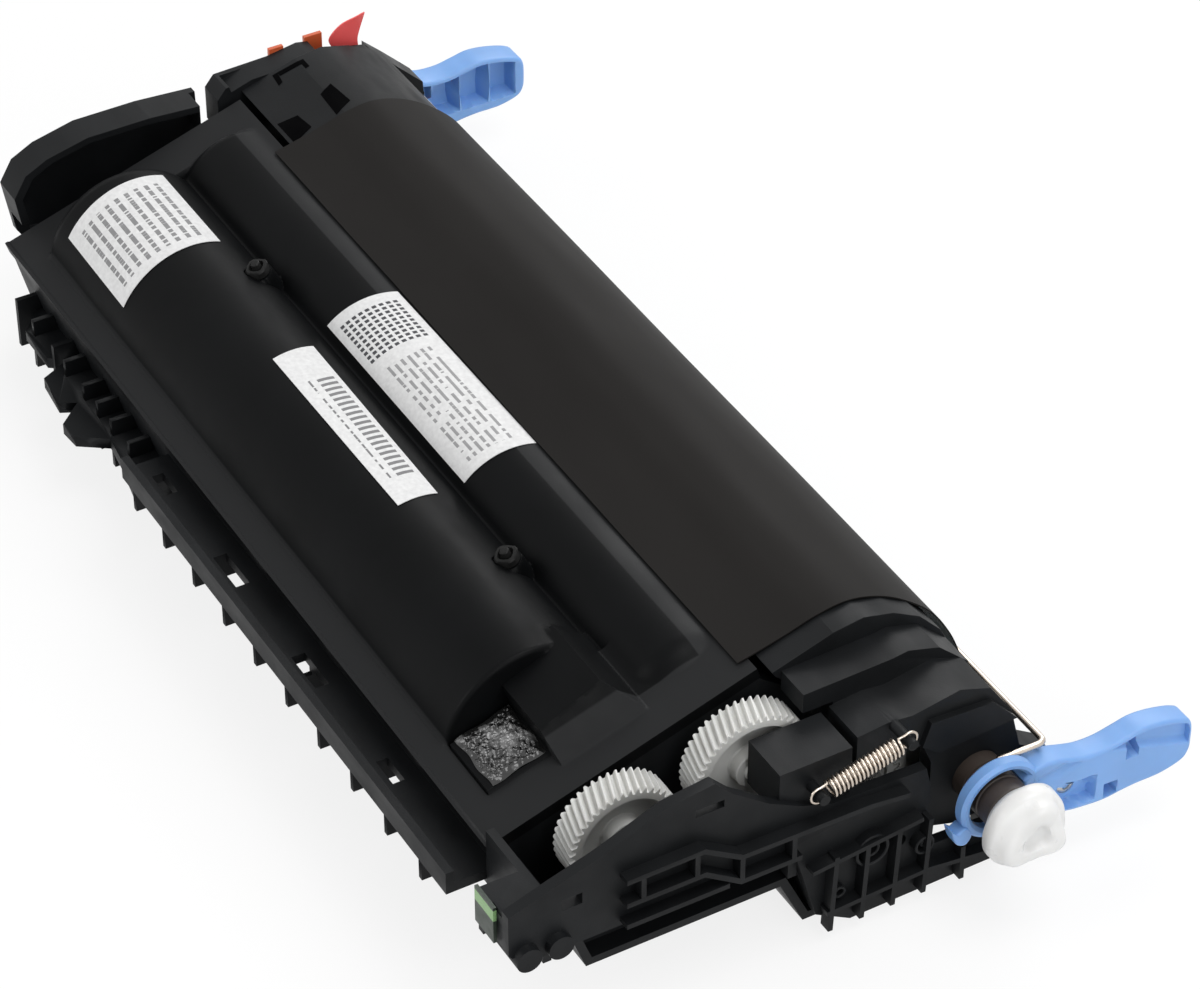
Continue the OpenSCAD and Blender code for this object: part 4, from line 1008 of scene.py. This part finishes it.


# The waste bin's far end: thin near-black inlays on its top, painted shade standing in for the recesses' shadow

def bin_recess_painted_shade():
    """Four-cornered inlays on the bin's top: x and y are blended between the corners, and z follows the bin's upper
    line. Their near-black colour is painted shade, standing in for the shadow inside the recesses."""
    line = np.array([(21.2, 56.4), (28.7, 58.8), (36.4, 61.2), (44.1, 62.2), (51.8, 60.2), (58.8, 56.2)])
    shape = Surface()
    for corners in ([(-108.5, 22.2), (-107.3, 27.3), (-100.9, 27.9), (-98.9, 22.2)],
                    [(-109.6, 35.0), (-111.6, 38.9), (-102.4, 39.7), (-99.8, 34.5)],
                    [(-125.6, 29.4), (-125.6, 30.8), (-121.5, 30.2), (-121.0, 28.9)],
                    [(-125.6, 30.8), (-125.2, 36.8), (-123.6, 36.8), (-124.0, 30.8)],
                    [(-125.2, 36.8), (-125.2, 38.0), (-121.6, 38.0), (-121.4, 36.8)]):
        c = np.array(corners)
        u, v = (g[..., None] for g in np.meshgrid(np.linspace(0, 1, 12), np.linspace(0, 1, 4), indexing="ij"))
        xy = (c[0] * (1 - u) + c[1] * u) * (1 - v) + (c[3] * (1 - u) + c[2] * u) * v
        z = np.interp(xy[..., 1], line[:, 0], line[:, 1])[..., None]
        top, low = np.concatenate([xy, z + 0.12], -1), np.concatenate([xy, z + 0.02], -1)
        shape.grid(top).grid(low[:, ::-1])
        for a, b in ((top[0], low[0]), (top[-1], low[-1]), (top[:, 0], low[:, 0]), (top[:, -1], low[:, -1])):
            shape.grid(np.stack([a, b]))
    # Painted shade: the inlays' near-black colour stands in for the shadow inside the recesses.
    deep = Finish("shadowed recess", (0.0012, 0.0012, 0.0014), 0.9, Specular_IOR_Level=0.02)
    deep.colour(deep.noise(200, 2), [(0.3, (0.0008, 0.0008, 0.001)), (0.7, (0.0018, 0.0018, 0.002))])
    obj = shape.made("bin_recess_painted_shade", deep.material, "drum_unit")


bin_recess_painted_shade()


# The seal's red pull tab, bent over at its tip

def bent_tab():
    """A thin sheet between two side curves, its rows leaning out along X with the square of the height."""
    left = curve_through([(50.6, 52.8), (50.2, 56), (49.2, 59.4), (52.6, 62.4), (58.6, 64.3)], 8)
    right = curve_through([(57.2, 52.8), (57.4, 54.6), (57.3, 57.4), (58.2, 60.6), (59.6, 64.4)], 8)
    share = np.linspace(0, 1, 10)[None, :, None]
    yz = left[:, None] * (1 - share) + right[:, None] * share
    lean = 0.5 * ((yz[..., 1] - 52.2) / 12.2)**2
    front = np.concatenate([(-132.75 - 0.5 * np.sin(yz[..., 0] / 1.6) * lean)[..., None], yz], -1)
    back = front - np.array([0.4, 0, 0])
    made = Surface().grid(front).grid(back[:, ::-1])
    for a, b in ((front[0], back[0]), (front[-1], back[-1]), (front[:, 0], back[:, 0]), (front[:, -1], back[:, -1])):
        made.grid(np.stack([a, b]))
    return made.made("seal_tab", RED, "hopper_unit", ["pull_tab"])


bent_tab()


# Camera, floor and light

def place_camera():
    """A pinhole at the photograph's own place, azimuth and height, with no shift."""
    azimuth, elevation = math.radians(CAMERA_AZIMUTH), math.radians(CAMERA_ELEVATION)
    back = Vector((math.sin(azimuth) * math.cos(elevation), -math.cos(azimuth) * math.cos(elevation),
                   math.sin(elevation)))
    lens = bpy.data.cameras.new("camera")
    lens.sensor_fit = "HORIZONTAL"
    lens.sensor_width = SENSOR_W
    lens.lens = SENSOR_W * FOCAL_PX / PHOTO_W
    lens.clip_start, lens.clip_end = 0.05, 20
    camera = bpy.data.objects.new("camera", lens)
    camera.location = Vector(CAMERA_AT) / 1000
    camera.rotation_euler = back.to_track_quat("Z", "Y").to_euler()
    bpy.context.scene.collection.objects.link(camera)
    bpy.context.scene.camera = camera


def area_light(name, at, towards, size, watts, colour=(1, 1, 1)):
    lamp = bpy.data.lights.new(name, "AREA")
    lamp.shape = "RECTANGLE"
    lamp.size, lamp.size_y = size
    lamp.energy = watts
    lamp.color = colour
    obj = bpy.data.objects.new(name, lamp)
    obj.location = at
    obj.rotation_euler = (Vector(at) - Vector(towards)).to_track_quat("Z", "Y").to_euler()
    bpy.context.scene.collection.objects.link(obj)


def seen_rays(tree, rays):
    """Camera rays, and the rays that glossy and clear surfaces send on."""
    total = rays.outputs["Is Camera Ray"]
    for other in ("Is Glossy Ray", "Is Transmission Ray"):
        larger_of = tree.nodes.new("ShaderNodeMath")
        larger_of.operation = "MAXIMUM"
        tree.links.new(total, larger_of.inputs[0])
        tree.links.new(rays.outputs[other], larger_of.inputs[1])
        total = larger_of.outputs[0]
    return total


def pale_floor():
    """A large pale sheet under the part, shown near white to the camera and in reflections."""
    half = 4.0
    mesh = bpy.data.meshes.new("floor")
    mesh.from_pydata([(-half, -half, 0), (half, -half, 0), (half, half, 0), (-half, half, 0)], [], [(0, 1, 2, 3)])
    floor = bpy.data.objects.new("floor", mesh)
    floor.location.z = -0.0002
    bpy.context.scene.collection.objects.link(floor)
    made = Finish("pale floor", (0.86, 0.86, 0.86), 0.9)
    rays = made.node("ShaderNodeLightPath")
    glow = made.node("ShaderNodeEmission")
    glow.inputs["Strength"].default_value = 1.0
    mixed = made.node("ShaderNodeMixShader")
    share = made.node("ShaderNodeMath", operation="MULTIPLY")
    share.inputs[1].default_value = 0.82
    made.join(seen_rays(made.tree, rays), share.inputs[0])
    made.join(share.outputs[0], mixed.inputs["Fac"])
    made.join(made.shader.outputs["BSDF"], mixed.inputs[1])
    made.join(glow.outputs["Emission"], mixed.inputs[2])
    made.join(mixed.outputs["Shader"], made.tree.nodes["Material Output"].inputs["Surface"])
    wear(floor, made.material)


def studio_world():
    world = bpy.data.worlds.new("studio")
    bpy.context.scene.world = world
    world.use_nodes = True
    tree = world.node_tree
    back = tree.nodes["Background"]
    back.inputs["Color"].default_value = (1, 1, 1, 1)
    back.inputs["Strength"].default_value = 0.45
    seen = tree.nodes.new("ShaderNodeBackground")
    seen.inputs["Color"].default_value = (1, 1, 1, 1)
    rays = tree.nodes.new("ShaderNodeLightPath")
    mixed = tree.nodes.new("ShaderNodeMixShader")
    tree.links.new(seen_rays(tree, rays), mixed.inputs["Fac"])
    tree.links.new(back.outputs["Background"], mixed.inputs[1])
    tree.links.new(seen.outputs["Background"], mixed.inputs[2])
    tree.links.new(mixed.outputs["Shader"], tree.nodes["World Output"].inputs["Surface"])


place_camera()
pale_floor()
studio_world()
area_light("overhead softbox", (0.3, 0.25, 0.95), (0, 0, 0.03), (0.7, 0.6), 5)
area_light("back softbox", (-0.55, 0.75, 0.75), (0, 0, 0.03), (0.7, 0.5), 5)
area_light("left softbox", (-0.1, -0.9, 0.5), (0, 0, 0.03), (0.6, 0.5), 3)
area_light("drive end softbox", (0.9, 0.0, 0.5), (0.1, 0, 0.03), (0.5, 0.5), 2.5)

bpy.context.scene.view_settings.view_transform = "Standard"
